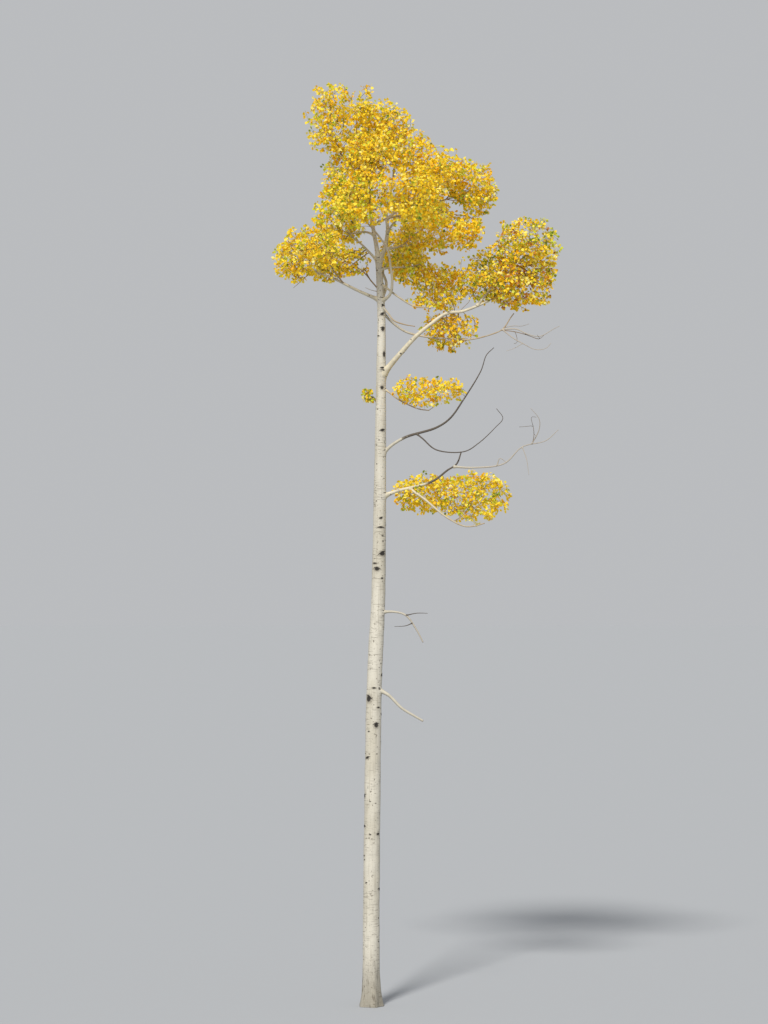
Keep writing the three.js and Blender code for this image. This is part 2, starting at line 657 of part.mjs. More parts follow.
// Every twig and leaf of a mass as rings. Each twig runs on into a leaf at its end, and another
// leaf stands out from the middle of each of its pieces.
function massTwigs(mass, nodes, stemPoints, seed, leafLength, masses, obstacles) {
  const radii = nodes.map(({ ends }) => TWIG_RADIUS * ends ** TWIG_POWER);
  const along = nodes.map(({ point, parent }) => {
    const from = nodes[Math.max(0, parent)].point;
    return point.clone().sub(from).normalize();
  });
  const findAt = (root, n, turns, index) =>
    leafLength && findLeaf(mass, root, along[n], turns, leafLength, seed, index, masses, obstacles);
  const twigs = twigChains(nodes).map((chain) => {
    const rings = chain.map((n) => ringOf(nodes[n].point, radii[n]));
    if (chain[0] > 0) rings[0].width = Math.min(radii[chain[1]], radii[chain[0]] * INSIDE_SHARE);
    rings[0].thickness = rings[0].width;
    const end = chain[chain.length - 1];
    const leaf = findAt(nodes[end].point, end, END_LEAF_TURNS, 2 * end);
    if (leaf) rings.push(...leafRings(nodes[end].point, leaf));
    return { rings, facing: (leaf || leafDirection(along[end], seed, end)).facing };
  });
  nodes.slice(stemPoints).forEach(({ point, parent }, i) => {
    const n = i + stemPoints;
    const root = nodes[parent].point.clone().lerp(point, 0.5);
    const leaf = findAt(root, n, SIDE_LEAF_TURNS, 2 * n + 1);
    const rings = [ringOf(root, TWIG_RADIUS * SIDE_ROOT_SHARE)];
    if (!leaf) return;
    rings.push(...leafRings(root, leaf));
    twigs.push({ rings, facing: leaf.facing });
  });
  return twigs;
}

// One mass: its stem, twigs and leaves in one solid, clear of the limb that bears it.
function makeMass(mass, index, leafy, limbs, grownLimbs, stems, masses) {
  const stem = stems[index];
  const seed = (0.5 + index * SEED_STEP) % 1;
  const mean = meanRadius(mass);
  const leafLength = leafy ? Math.min(LEAF_LENGTH, mean * LEAF_LENGTH_SHARE) : 0;
  const leafyTwigs = Math.max(FEWEST_TWIGS, Math.round(TWIGS_PER_SQUARE_METRE * (mean / 1000) ** 2));
  const shrink = 1 - (TARGET_INSET * leafLength) / mean;
  const limbObstacles = [...limbs.values()].flatMap(obstaclesAlong);
  const stemObstacles = stems.flatMap((other) => (other === stem ? [] : obstaclesOfStem(other)));
  const obstacles = [...limbObstacles, ...stemObstacles];
  const twigCount = leafy ? leafyTwigs : BARE_TWIGS;
  const nodes = growTwigs(mass, stem, seed, twigCount, shrink, masses, obstacles);
  const twigs = massTwigs(mass, nodes, stem.points.length, seed, leafLength, masses, obstacles);
  const joined = wasm.Manifold.union(twigs.map(twigSolid)).asOriginal().simplify(FINEST_TWIG);
  return largestBody(stem.atTip ? joined : joined.subtract(grownLimbs.get(mass.from)));
}

// A named mesh whose own origin is at the given place.
function addMesh(group, name, solid, place, color) {
  const geometry = geometryOf(solid).translate(-place.x, -place.y, -place.z);
  const material = new THREE.MeshStandardMaterial({ color, roughness: 0.8, metalness: 0 });
  const mesh = new THREE.Mesh(geometry, material);
  mesh.name = name;
  mesh.position.copy(place);
  group.add(mesh);
}

const limbs = new Map([["trunk", makeTrunk(0)]]);
const grownLimbs = new Map([["trunk", makeTrunk(GAP).solid]]);
for (const row of LIMBS) {
  const limb = makeLimb(row, limbs, 0);
  grownLimbs.set(row.name, makeLimb(row, limbs, GAP).solid);
  limb.solid = largestBody(limb.solid.subtract(grownLimbs.get(row.from)));
  limbs.set(row.name, limb);
}

const masses = [...LEAFY, ...BARE];
const stems = masses.map((mass) => makeStem(mass, limbs));

const tree = new THREE.Group();
for (const [name, limb] of limbs) {
  const bark = name.startsWith("bare") || name.startsWith("snag") ? BARK_GREY : BARK_CREAM;
  addMesh(tree, name, limb.solid, limb.curve.getPoint(0), name === "trunk" ? BARK_WHITE : bark);
}
masses.forEach((mass, index) => {
  const leafy = index < LEAFY.length;
  const solid = makeMass(mass, index, leafy, limbs, grownLimbs, stems, masses);
  const colour = leafy ? LEAF_COLOURS[index % LEAF_COLOURS.length] : BARK_TAN;
  addMesh(tree, mass.name, solid, vector(mass.centre), colour);
});

export default tree;
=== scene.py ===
"""The poplar's bark, limbs, twigs and autumn leaves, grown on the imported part. Lengths are in metres."""

import bpy
import numpy as np
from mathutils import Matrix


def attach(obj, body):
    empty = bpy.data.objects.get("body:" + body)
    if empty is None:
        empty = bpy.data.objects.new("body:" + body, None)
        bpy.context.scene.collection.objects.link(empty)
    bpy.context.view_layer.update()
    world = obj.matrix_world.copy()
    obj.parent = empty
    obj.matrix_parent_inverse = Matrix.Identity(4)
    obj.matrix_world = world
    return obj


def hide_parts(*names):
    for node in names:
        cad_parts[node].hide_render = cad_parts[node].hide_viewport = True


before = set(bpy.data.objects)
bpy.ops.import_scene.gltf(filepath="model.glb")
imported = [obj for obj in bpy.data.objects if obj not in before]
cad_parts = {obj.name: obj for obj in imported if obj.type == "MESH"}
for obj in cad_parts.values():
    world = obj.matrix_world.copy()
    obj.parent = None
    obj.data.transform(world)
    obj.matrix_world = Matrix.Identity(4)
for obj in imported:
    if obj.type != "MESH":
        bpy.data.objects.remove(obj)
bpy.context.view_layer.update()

# The trunk is a tall, slender pole with smooth, chalky bark. It leans a little, thins and forks near
# its top, and spreads where it meets the ground. Old branch scars and the roots of the boughs swell it.
TRUNK_ROUTE = (
    (0, 0, 0), (0.005, -0.015, 1.5), (0.02, -0.03, 3.2), (0.06, 0.01, 5.7), (0.125, 0.04, 7.1),
    (0.155, 0.06, 9), (0.178, 0.04, 11.3), (0.18, 0.03, 12.1), (0.122, 0.04, 13.1), (0.04, 0.06, 13.6),
    (-0.105, 0.12, 14.4), (-0.22, 0.15, 15), (-0.27, 0.17, 15.68),
)
TRUNK_DIAMETER, TAPER_HEIGHT, TAPER_POWER, TAPER_CURVE = 0.29, 16.3, 2.4, 1.1
FORK_HEIGHT, FORK_BLEND, LEADER_SHARE = 13.15, 0.25, 0.72
FLARE_REACH, FLARE_HEIGHT, FLARE_LOBES, FLARE_LOBE_SHARE = 0.062, 0.3, 5, 0.35
TRUNK_LENGTH, TRUNK_ROWS, TRUNK_SPLIT, TRUNK_AROUND = 15.72, 1580, 800, 120
CURVE_STEPS, FEWEST_STEPS, TINY = 40, 5, 1e-9
ALONG_AXIS = 0.7  # A direction that lies further than this along an axis is squared to another axis.


def lengths(vectors):
    """The square root of the sum of each vector's squares."""
    return np.linalg.norm(vectors, axis=-1)


def unit(vectors):
    """The vectors divided by their lengths."""
    return vectors / np.maximum(lengths(vectors)[..., None], TINY)


def cubic(u, start, leave, end, arrive, span):
    """Points at shares u of a cubic from start to end, with the slopes that it leaves and arrives by.

    Twice u cubed less three u squared plus one weighs the start, and one less that weighs the end. U less
    twice its square plus its cube weighs the slope it leaves by, times the span, and u cubed less u squared
    the slope it arrives by.
    """
    points = (2 * u**3 - 3 * u**2 + 1) * start + (u**3 - 2 * u**2 + u) * leave * span
    return points + (3 * u**2 - 2 * u**3) * end + (u**3 - u**2) * arrive * span


def spline(route, step):
    """Points evenly spaced along a smooth curve through a route.

    Each span is a cubic. Its slope at a route point is the step before divided by the square root of its
    length, plus the same for the step after, less the step across both divided by the sum of the roots.
    """
    knots = np.array(route, float)
    knots = np.vstack([2 * knots[0] - knots[1], knots, 2 * knots[-1] - knots[-2]])
    roots = np.sqrt(lengths(np.diff(knots, axis=0)))[:, None]
    steps = np.diff(knots, axis=0) / roots
    slopes = steps[:-1] - (knots[2:] - knots[:-2]) / (roots[1:] + roots[:-1]) + steps[1:]
    u = np.linspace(0, 1, CURVE_STEPS + 1)[:-1, None, None]
    dense = cubic(u, knots[1:-2], slopes[:-1], knots[2:-1], slopes[1:], roots[1:-1])
    dense = np.vstack([dense.transpose(1, 0, 2).reshape(-1, 3), knots[-2]])
    along = np.concatenate([[0], np.cumsum(lengths(np.diff(dense, axis=0)))])
    even = np.linspace(0, along[-1], max(FEWEST_STEPS, round(along[-1] / step)) + 1)
    return np.stack([np.interp(even, along, dense[:, axis]) for axis in range(3)], axis=1)


def frames_along(path):
    """The direction of a path at each point, and two directions square to it and to each other.

    The first is a fixed axis crossed with the path's direction, the second is the first crossed with it.
    """
    ahead = unit(np.gradient(path, axis=0))
    chord = unit(path[-1] - path[0])
    fixed = (0, 1, 0) if abs(chord[1]) < ALONG_AXIS else (1, 0, 0)
    side = unit(np.cross(fixed, ahead))
    return ahead, side, np.cross(side, ahead)


def rings_along(path, angle, radius):
    """Rings round a path: the radius times the angle's cosine to one side, and its sine to the other."""
    _, side, front = frames_along(path)
    around = np.cos(angle)[..., None] * side[:, None] + np.sin(angle)[..., None] * front[:, None]
    return path[:, None] + radius[..., None] * around


def smooth(values, low, high):
    """0 below low and 1 above high, by three times the share squared less twice its cube between."""
    share = np.clip((values - low) / (high - low), 0, 1)
    return share * share * (3 - 2 * share)


def trunk_radius(height, angle):
    """Half the foot's thickness, times one less the height's share to a power, all to another power.

    The fork takes its share above, and a lobed flare is added that falls off exponentially with height.
    """
    taper = (1 - np.clip(height / TAPER_HEIGHT, 0, 1) ** TAPER_POWER) ** TAPER_CURVE
    fork = 1 - (1 - LEADER_SHARE) * smooth(height, FORK_HEIGHT - FORK_BLEND, FORK_HEIGHT + FORK_BLEND)
    lobes = 1 + FLARE_LOBE_SHARE * np.cos(FLARE_LOBES * angle)
    return TRUNK_DIAMETER / 2 * taper * fork + FLARE_REACH * lobes * np.exp(-height / FLARE_HEIGHT)


RIPPLE_TURNS, RIPPLE_PITCHES, RIPPLE_EVENNESS = (0, 1, 1, 2, 2, 3, 3, 4), (3, 26), 3


def ripple(along, angle, radius, seed, size):
    """How much thicker or thinner a limb is from place to place: some sine waves along it and round it.

    Each has a pitch and a phase of its own, and is divided by one more than its turns round the limb. Their
    sum is scaled by the radius.
    """
    chance = np.random.default_rng(seed)
    total = 0
    for turns in RIPPLE_TURNS:
        pitch, phase = chance.uniform(*RIPPLE_PITCHES), chance.uniform(0, 2 * np.pi)
        total = total + np.sin(pitch * along + turns * angle + phase) / (1 + turns)
    return radius * size * total / RIPPLE_EVENNESS


FAR_FROM_SCARS, MARK_REACH, MARK_MARGIN = 4.0, 5, 0.05
BROW_RISE, BROW_FALL, BROW_TILT, BROW_TILT_PITCH = 1.1, 0.42, 0.5, 9
BROW_LINE, BROW_WIDTH, BROW_END_POWER = 0.006, 1.9, 6
SCAR_SWELL, ROOT_SWELL, SWELL_SPREAD, PIT_DEPTH, PIT_WIDTH = 0.16, 0.42, 2.2, 0.22, 0.6


def bark_marks(along, angle, radius, marks):
    """How far each place is from the nearest branch scar, as a share of its size, and the bark's swell.

    A scar is an ellipse, so its distance is the root of the two squared shares. Its brow is a pair of thin
    lines that fall away from the top of the scar, one more steeply, by a wave of the scar's height. The
    bark swells by a bell curve of that distance, and sinks by a narrower one at the scar's middle. A mark
    with no height is a bough's root, with a brow only.
    """
    nearest, swell = np.full(angle.shape, FAR_FROM_SCARS), np.zeros(angle.shape)
    for place, turn, half_width, half_height, has_brow in marks:
        rows = np.abs(along[:, 0] - place) < MARK_REACH * half_width + MARK_MARGIN
        if not rows.any():
            continue
        across = radius[rows] * ((angle[rows] - turn + np.pi) % (2 * np.pi) - np.pi)
        rise = along[rows] - place
        tall = half_height or half_width
        distance = np.hypot(across / half_width, rise / tall)
        scar = distance if half_height else np.full_like(distance, FAR_FROM_SCARS)
        if has_brow:
            slant = rise - BROW_RISE * tall + BROW_FALL * np.abs(across)
            slant = slant + BROW_TILT * np.sin(BROW_TILT_PITCH * place) * across
            end = (across / (BROW_WIDTH * half_width)) ** BROW_END_POWER
            brow = np.sqrt((slant / BROW_LINE) ** 2 + end)
            scar = np.minimum(scar, brow)
        nearest[rows] = np.minimum(nearest[rows], scar)
        lift = SCAR_SWELL if half_height else ROOT_SWELL
        swell[rows] += half_width * lift * np.exp(-(distance**2) / SWELL_SPREAD)
        if half_height:
            swell[rows] -= half_width * PIT_DEPTH * np.exp(-((distance / PIT_WIDTH) ** 2))
    return nearest, swell


def skin(grid):
    """Triangles over a grid of rings, closed round each ring and by a fan to a middle point at each end."""
    rows, around = grid.shape[:2]
    corner = np.arange(rows * around).reshape(rows, around)
    beside = np.roll(corner, -1, axis=1)
    a, b, c, d = corner[:-1], beside[:-1], corner[1:], beside[1:]
    walls = np.concatenate([np.stack([a, c, b], -1), np.stack([b, c, d], -1)]).reshape(-1, 3)
    low, high = rows * around, rows * around + 1
    foot = np.stack([np.full(around, low), corner[0], beside[0]], -1)
    top = np.stack([np.full(around, high), beside[-1], corner[-1]], -1)
    places = np.vstack([grid.reshape(-1, 3), grid[0].mean(0), grid[-1].mean(0)])
    return places, np.vstack([walls, foot, top])


def put_in_scene(name, data):
    """A new object at the origin that shows some data."""
    thing = bpy.data.objects.new(name, data)
    bpy.context.scene.collection.objects.link(thing)
    return thing


def new_piece(name, places, faces, material, **shades):
    """A mesh object at the origin with its corners where they belong, and one attribute for each shade."""
    mesh = bpy.data.meshes.new(name)
    mesh.vertices.add(len(places))
    mesh.vertices.foreach_set("co", np.asarray(places, np.float32).ravel())
    mesh.loops.add(faces.size)
    mesh.loops.foreach_set("vertex_index", faces.astype(np.int32).ravel())
    mesh.polygons.add(len(faces))
    mesh.polygons.foreach_set("loop_start", np.arange(0, faces.size, 3, dtype=np.int32))
    mesh.update(calc_edges=True)
    mesh.shade_smooth()
    for shade, values in shades.items():
        mesh.attributes.new(shade, "FLOAT", "POINT").data.foreach_set("value", np.float32(values))
    mesh.materials.append(material)
    return put_in_scene(name, mesh)


class Wire:
    """An output of a node. Arithmetic on it adds Math nodes to the same material."""

    def __init__(self, finish, socket):
        self.finish, self.socket = finish, socket

    def math(self, operation, *values):
        return self.finish.add("Math", {"operation": operation}, dict(enumerate(values)))

    def __add__(self, other):
        return self.math("ADD", self, other)

    def __sub__(self, other):
        return self.math("SUBTRACT", self, other)

    def __rsub__(self, other):
        return self.math("SUBTRACT", other, self)

    def __mul__(self, other):
        return self.math("MULTIPLY", self, other)

    __radd__, __rmul__ = __add__, __mul__


class Finish:
    """A material and its node tree."""

    def __init__(self, name):
        self.material = bpy.data.materials.new(name)
        self.material.use_nodes = True
        self.tree = self.material.node_tree
        self.tree.nodes.clear()

    def add(self, kind, settings=None, sockets=None, output=0):
        """Adds a node of a kind, sets its settings, then the values or links of its sockets."""
        node = self.tree.nodes.new("ShaderNode" + kind)
        for name, value in (settings or {}).items():
            setattr(node, name, value)
        for name, value in (sockets or {}).items():
            if isinstance(value, Wire):
                self.tree.links.new(value.socket, node.inputs[name])
            else:
                node.inputs[name].default_value = value
        return Wire(self, node.outputs[output]) if node.outputs else node

    def noise(self, stretch, detail=3.0):
        """Noise of about 0 to 1 on Object coordinates, with so many waves to a metre along X, Y and Z."""
        place = self.add("TexCoord", output="Object")
        place = self.add("Mapping", {}, {"Vector": place, "Scale": stretch})
        return self.add("TexNoise", {}, {"Vector": place, "Scale": 1.0, "Detail": detail})

    def step(self, value, low, high):
        """0 where the value is low and 1 where it is high, with a smooth step between."""
        sockets = {"Value": value, "From Min": low, "From Max": high}
        return self.add("MapRange", {"interpolation_type": "SMOOTHSTEP"}, sockets)

    def spots(self, stretch, low, high, detail=3.0):
        """0 where the noise is low and 1 where it is high: the higher the two are, the fewer the spots."""
        return self.step(self.noise(stretch, detail), low, high)

    def tint(self, share, first, second):
        """The first colour, with that share of the second mixed in."""
        return self.add("Mix", {"data_type": "RGBA"}, {0: share, 6: first, 7: second}, 2)

    def shade(self, name):
        """A value that the mesh holds at each corner."""
        return self.add("Attribute", {"attribute_name": name}, output="Fac")

    def show(self, shader):
        """Makes a shader the material's surface."""
        self.add("OutputMaterial", {}, {"Surface": shader})
        return self.material

    def surface(self, face, roughness, relief, strength, depth):
        """Gives the surface a colour, a roughness, and a relief of some strength, so many metres deep."""
        normal = self.add("Bump", {}, {"Strength": strength, "Distance": depth, "Height": relief})
        sockets = {"Base Color": face, "Roughness": roughness, "Normal": normal}
        return self.show(self.add("BsdfPrincipled", {}, sockets))


def colour(code):
    """Red, green and blue from 0 to 255, as light: each share to the power 2.2, and full alpha."""
    return tuple((value / 255) ** 2.2 for value in code) + (1.0,)


CHALK, CHALK_DULL, CHALK_STREAK = colour((203, 198, 184)), colour((184, 178, 161)), colour((154, 147, 131))
SCAR_DARK, SCAR_HALO, LINE_BROWN = colour((34, 30, 27)), colour((104, 96, 84)), colour((98, 89, 76))
FOOT_GREY, TOP_TAN = colour((104, 98, 86)), colour((196, 176, 138))


def trunk_bark():
    """Chalky white bark: broad dull patches, faint upright streaks and thin level lines, with dark scars."""
    bark = Finish("trunk_bark")
    height = bark.add("SeparateXYZ", {}, {"Vector": bark.add("TexCoord", output="Object")}, "Z")
    ragged = bark.noise((60, 60, 60))
    patches = bark.spots((3, 3, 1.1), 0.4, 0.66)
    streaks = bark.spots((42, 42, 1.6), 0.5, 0.72)
    level = bark.spots((7, 7, 72), 0.6, 0.67, 1.0) * bark.spots((2, 2, 3), 0.36, 0.56)
    pores = bark.spots((26, 26, 170), 0.61, 0.68, 1.0)
    specks = bark.spots((27, 27, 32), 0.745, 0.785, 0.0)
    cracks = bark.spots((30, 30, 5), 0.56, 0.66)
    scar = bark.shade("scar") + ragged * 0.5
    dark, halo = bark.step(scar, 1.5, 1.05), bark.step(scar, 2.5, 1.25)
    foot = bark.step(height + ragged * 0.7 + patches * 0.2, 1.5, 0.5)
    face = bark.tint(patches * 0.75, CHALK, CHALK_DULL)
    face = bark.tint(streaks * 0.45, face, CHALK_STREAK)
    face = bark.tint(bark.step(height, 12.3, 15.2) * 0.8, face, TOP_TAN)
    face = bark.tint(level * 0.5 + pores * 0.22, face, LINE_BROWN)
    face = bark.tint(foot * 0.6, face, FOOT_GREY)
    face = bark.tint(foot * cracks * 0.8 + specks * 0.8, face, SCAR_HALO)
    face = bark.tint(halo * 0.5, face, SCAR_HALO)
    face = bark.tint(dark * 0.95, face, SCAR_DARK)
    relief = ragged * 0.35 + streaks * 0.15 - level * 0.5 - pores * 0.25 - dark * 0.8 - foot * cracks * 1.6
    return bark.surface(face, 0.62 + dark * 0.25, relief, 0.6, 0.005)


# Height, place across the front from -1 to 1, half width and half height in mm, and 1 for a brow.
FRONT_SCARS = (
    (12.88, -0.65, 14, 10, 0), (12.83, 0.88, 14, 10, 0), (12.27, 0.44, 20, 16, 0), (12.11, 0.25, 26, 20, 1),
    (11.85, 0.33, 26, 34, 1), (11.73, -0.73, 24, 11, 0), (11.41, 0.64, 22, 48, 0), (11.17, 0.25, 24, 15, 1),
    (10.82, 0.22, 24, 26, 1), (10.45, -0.62, 13, 9, 0), (10.08, 0.33, 30, 20, 1), (9.91, -0.25, 12, 8, 0),
    (9.49, -0.6, 11, 8, 0), (8.84, -0.53, 12, 8, 0), (8.54, 0.22, 20, 17, 1), (8.38, 0.22, 40, 15, 1),
    (8.23, 0.54, 14, 11, 0), (8.14, 0.56, 14, 11, 0), (7.92, 0.48, 46, 36, 1), (7.75, -0.6, 42, 12, 0),
    (7.65, -0.28, 38, 30, 1), (7.49, 0.48, 19, 14, 0), (6, 0.77, 11, 9, 0), (5.93, 0.57, 9, 7, 0),
    (5.8, 0.97, 30, 26, 1), (5.57, -0.03, 32, 14, 0), (5.57, 0.65, 14, 12, 0), (5.38, -0.68, 44, 52, 1),
    (5.23, 0.61, 28, 13, 0), (5.11, 0.97, 20, 18, 0), (4.92, 0.36, 34, 40, 1), (4.81, -0.58, 18, 11, 0),
    (4.42, 0.5, 14, 8, 0), (4.42, -0.94, 14, 8, 0), (4.35, -0.73, 34, 18, 1), (3.68, -0.97, 34, 28, 1),
    (3.59, -0.28, 13, 8, 0), (3.56, 0.41, 12, 7, 0),
)
# Scars are spread by chance over the back. Each is like one on the front, but half a metre or so higher or
# lower, and larger or smaller by a share between two limits.
BACK_SCARS, BACK_SCAR_SIZES, BACK_SCAR_SHIFT, FRONT_EDGE, SCAR_SEED = 62, (0.7, 1.15), 0.5, 0.15, 11
# More scars are spread over the foot, with these half widths and heights in metres.
FOOT_SCARS, FOOT_SCAR_SIZES, FOOT_SCAR_HEIGHTS = 12, (0.012, 0.034), (0.5, 3.4)
FOOT_SCAR_FLATNESS, FOOT_BROW_CHANCE = 0.6, 0.4

axis = spline(TRUNK_ROUTE, TRUNK_LENGTH / TRUNK_ROWS)
along = np.linspace(0, lengths(np.diff(axis, axis=0)).sum(), len(axis))[:, None]
angle = np.linspace(0, 2 * np.pi, TRUNK_AROUND, endpoint=False)[None, :] + 0 * along
trunk = {"path": axis, "radii": trunk_radius(along[:, 0], 0), "out": along[:, 0]}
scars = [(h, np.arccos(x), w / 1000, t / 1000, brow) for h, x, w, t, brow in FRONT_SCARS]
chance = np.random.default_rng(SCAR_SEED)
for _ in range(BACK_SCARS):
    h, _, w, t, brow = FRONT_SCARS[chance.integers(len(FRONT_SCARS))]
    turn = chance.uniform(np.pi + FRONT_EDGE, 2 * np.pi - FRONT_EDGE)
    size = chance.uniform(*BACK_SCAR_SIZES) / 1000
    scars.append((h + chance.normal(0, BACK_SCAR_SHIFT), turn, w * size, t * size, brow))
for _ in range(FOOT_SCARS):
    turn, size = chance.uniform(0, 2 * np.pi), chance.uniform(*FOOT_SCAR_SIZES)
    height, flat = chance.uniform(*FOOT_SCAR_HEIGHTS), size * FOOT_SCAR_FLATNESS
    scars.append((height, turn, size, flat, chance.random() < FOOT_BROW_CHANCE))

# The boughs and limbs grow out of the trunk and out of each other, each a single tapering stem with a
# collar at its root. Young wood is tan, older wood is as pale as the trunk, and dead limbs are grey.

# A row has a name, the parent, the thickness at root and tip, and a route that starts at the parent.
LIMBS = (
    ("leader_right", "trunk", 0.08, 0.03,
     ((0.12, 0.04, 13), (0.235, 0.05, 13.26), (0.29, 0.07, 13.58), (0.268, 0.1, 13.85),
      (0.28, 0.12, 14.08), (0.37, 0.13, 14.37), (0.42, 0.13, 14.88))),
    ("bough_main_right", "trunk", 0.104, 0.04,
     ((0.18, 0.04, 11), (0.275, 0, 11.14), (0.505, -0.09, 11.405), (0.79, -0.15, 11.715),
      (1.07, -0.16, 11.945), (1.31, -0.15, 12.11), (1.59, -0.1, 12.15), (1.91, -0.06, 12.27),
      (2.05, -0.04, 12.34))),
    ("bough_lobe", "bough_main_right", 0.044, 0.024,
     ((1.86, -0.07, 12.24), (2.12, -0.06, 12.6), (2.35, -0.08, 12.93), (2.5, -0.09, 13.06))),
    ("limb_left", "trunk", 0.062, 0.034,
     ((0.16, 0.03, 12.34), (-0.21, 0, 12.51), (-0.68, -0.03, 12.74), (-0.93, -0.04, 12.83),
      (-1.08, -0.04, 12.87))),
    ("limb_left_small", "trunk", 0.046, 0.022,
     ((0.12, 0.04, 13.02), (-0.14, 0.05, 13.31), (-0.35, 0.02, 13.49), (-0.43, 0, 13.64))),
    ("limb_upper_left", "trunk", 0.044, 0.024,
     ((-0.1, 0.12, 14.33), (-0.28, 0.06, 14.62), (-0.43, -0.02, 14.8), (-0.57, -0.08, 14.95))),
    ("limb_upper_right", "leader_right", 0.044, 0.022,
     ((0.272, 0.11, 13.93), (0.44, 0.02, 14.15), (0.64, -0.05, 14.33), (0.8, -0.09, 14.43))),
    ("limb_leader_side", "leader_right", 0.046, 0.022,
     ((0.275, 0.09, 13.78), (0.47, 0.11, 13.93), (0.68, 0.12, 14.01), (1.05, 0.08, 14.06),
      (1.37, 0.04, 14.13))),
    ("limb_front_left", "trunk", 0.056, 0.026,
     ((0.182, 0.03, 12.33), (0.33, -0.13, 12.44), (0.37, -0.24, 12.64), (0.345, -0.31, 12.9),
      (0.285, -0.38, 13.21), (0.1, -0.5, 13.48), (-0.11, -0.65, 13.7))),
    ("limb_front_right", "leader_right", 0.046, 0.022,
     ((0.29, 0.07, 13.56), (0.39, -0.16, 13.68), (0.52, -0.42, 13.78), (0.62, -0.62, 13.85))),
    ("limb_back_right", "trunk", 0.048, 0.024,
     ((0.02, 0.07, 13.68), (0.22, 0.26, 13.78), (0.45, 0.48, 13.86), (0.58, 0.64, 13.9))),
    ("limb_back_left", "trunk", 0.044, 0.024,
     ((0.06, 0.06, 13.5), (-0.12, 0.26, 13.57), (-0.33, 0.48, 13.56), (-0.43, 0.6, 13.59))),
    ("limb_back_low", "trunk", 0.06, 0.03,
     ((0.18, 0.03, 12.4), (0.25, 0.1, 12.54), (0.265, 0.17, 12.68), (0.21, 0.26, 12.86),
      (0.27, 0.45, 13.01), (0.38, 0.68, 13.08))),
    ("limb_right_up", "leader_right", 0.044, 0.022,
     ((0.255, 0.05, 13.24), (0.47, 0.09, 13.29), (0.61, 0.13, 13.37), (0.73, 0.16, 13.48))),
    ("limb_right_level", "trunk", 0.038, 0.02,
     ((0.14, 0.03, 12.89), (0.4, 0.03, 12.925), (0.68, -0.02, 12.935), (0.87, -0.04, 12.985))),
    ("limb_right_low", "trunk", 0.042, 0.022,
     ((0.18, 0.03, 12.64), (0.3, -0.06, 12.54), (0.48, -0.12, 12.4), (0.75, -0.13, 12.24),
      (0.93, -0.11, 12.22), (1.03, -0.08, 12.24))),
    ("bare_limb_short", "trunk", 0.044, 0.014,
     ((0.182, 0.03, 12.27), (0.29, -0.07, 12.13), (0.4, -0.11, 11.99), (0.59, -0.1, 11.92),
      (0.77, -0.06, 11.89))),
    ("bare_limb_long", "trunk", 0.046, 0.018,
     ((0.182, 0.03, 12.18), (0.35, 0.08, 11.99), (0.6, 0.11, 11.81), (1, 0.09, 11.71),
      (1.36, 0.02, 11.68), (1.7, -0.03, 11.66), (2.07, -0.05, 11.74), (2.3, -0.06, 11.84),
      (2.44, -0.05, 12.04), (2.5, -0.03, 12.12))),
    ("limb_lower", "trunk", 0.034, 0.016,
     ((0.18, 0.04, 10.83), (0.33, 0, 10.73), (0.47, -0.04, 10.62), (0.82, -0.07, 10.45),
      (1.02, -0.06, 10.42))),
    ("bare_limb_dark", "trunk", 0.06, 0.012,
     ((0.17, 0.05, 9.64), (0.4, 0.01, 9.84), (0.62, -0.02, 9.96), (1.14, -0.06, 10.12),
      (1.38, -0.08, 10.28), (1.61, -0.09, 10.6), (1.92, -0.07, 11.11), (2.02, -0.05, 11.39),
      (2.15, -0.04, 11.52))),
    ("bare_limb_dark_side", "bare_limb_dark", 0.028, 0.01,
     ((0.8, -0.03, 10.01), (0.9, -0.09, 9.93), (1.14, -0.17, 9.73), (1.63, -0.23, 9.7),
      (1.87, -0.24, 9.84), (2.17, -0.22, 10.12), (2.3, -0.2, 10.28), (2.19, -0.18, 10.45))),
    ("limb_low", "trunk", 0.07, 0.022,
     ((0.16, 0.06, 8.89), (0.42, 0.02, 9), (1.07, -0.04, 9.18), (1.33, -0.06, 9.37), (1.5, -0.07, 9.49),
      (1.58, -0.06, 9.7))),
    ("bare_limb_grey", "limb_low", 0.038, 0.01,
     ((1.44, -0.066, 9.445), (1.78, -0.14, 9.42), (2.32, -0.19, 9.49), (2.64, -0.2, 9.78),
      (3.05, -0.18, 9.89), (3.27, -0.16, 10.08))),
    ("limb_low_leafy", "limb_low", 0.05, 0.02,
     ((0.66, 0, 9.07), (0.92, -0.12, 8.88), (1.31, -0.24, 8.56), (1.62, -0.28, 8.4), (1.8, -0.27, 8.4),
      (1.98, -0.25, 8.45))),
    ("snag_upper", "trunk", 0.048, 0.022,
     ((0.11, 0.035, 6.88), (0.4, -0.07, 6.9), (0.61, -0.12, 6.84), (0.8, -0.15, 6.58),
      (0.91, -0.17, 6.37))),
    ("snag_lower", "trunk", 0.062, 0.038,
     ((0.06, 0.01, 5.56), (0.3, -0.09, 5.45), (0.54, -0.15, 5.22), (0.77, -0.18, 5.08),
      (0.91, -0.2, 5))),
)
DEAD = ("bare_limb_short", "bare_limb_long", "bare_limb_dark", "bare_limb_dark_side", "bare_limb_grey",
        "snag_upper", "snag_lower")
# How far from its root, in metres, a limb turns from pale to dark, from the first to the second number.
DARKENS = {"limb_low": (0.72, 1.0), "bare_limb_dark": (0.3, 0.75), "bare_limb_dark_side": (-1, 0),
           "spur_snag": (-1, 0), "spur_snag_down": (-1, 0)}
BROWN = ("bare_limb_short", "bare_limb_long")  # Dead limbs that are still as brown as live ones.
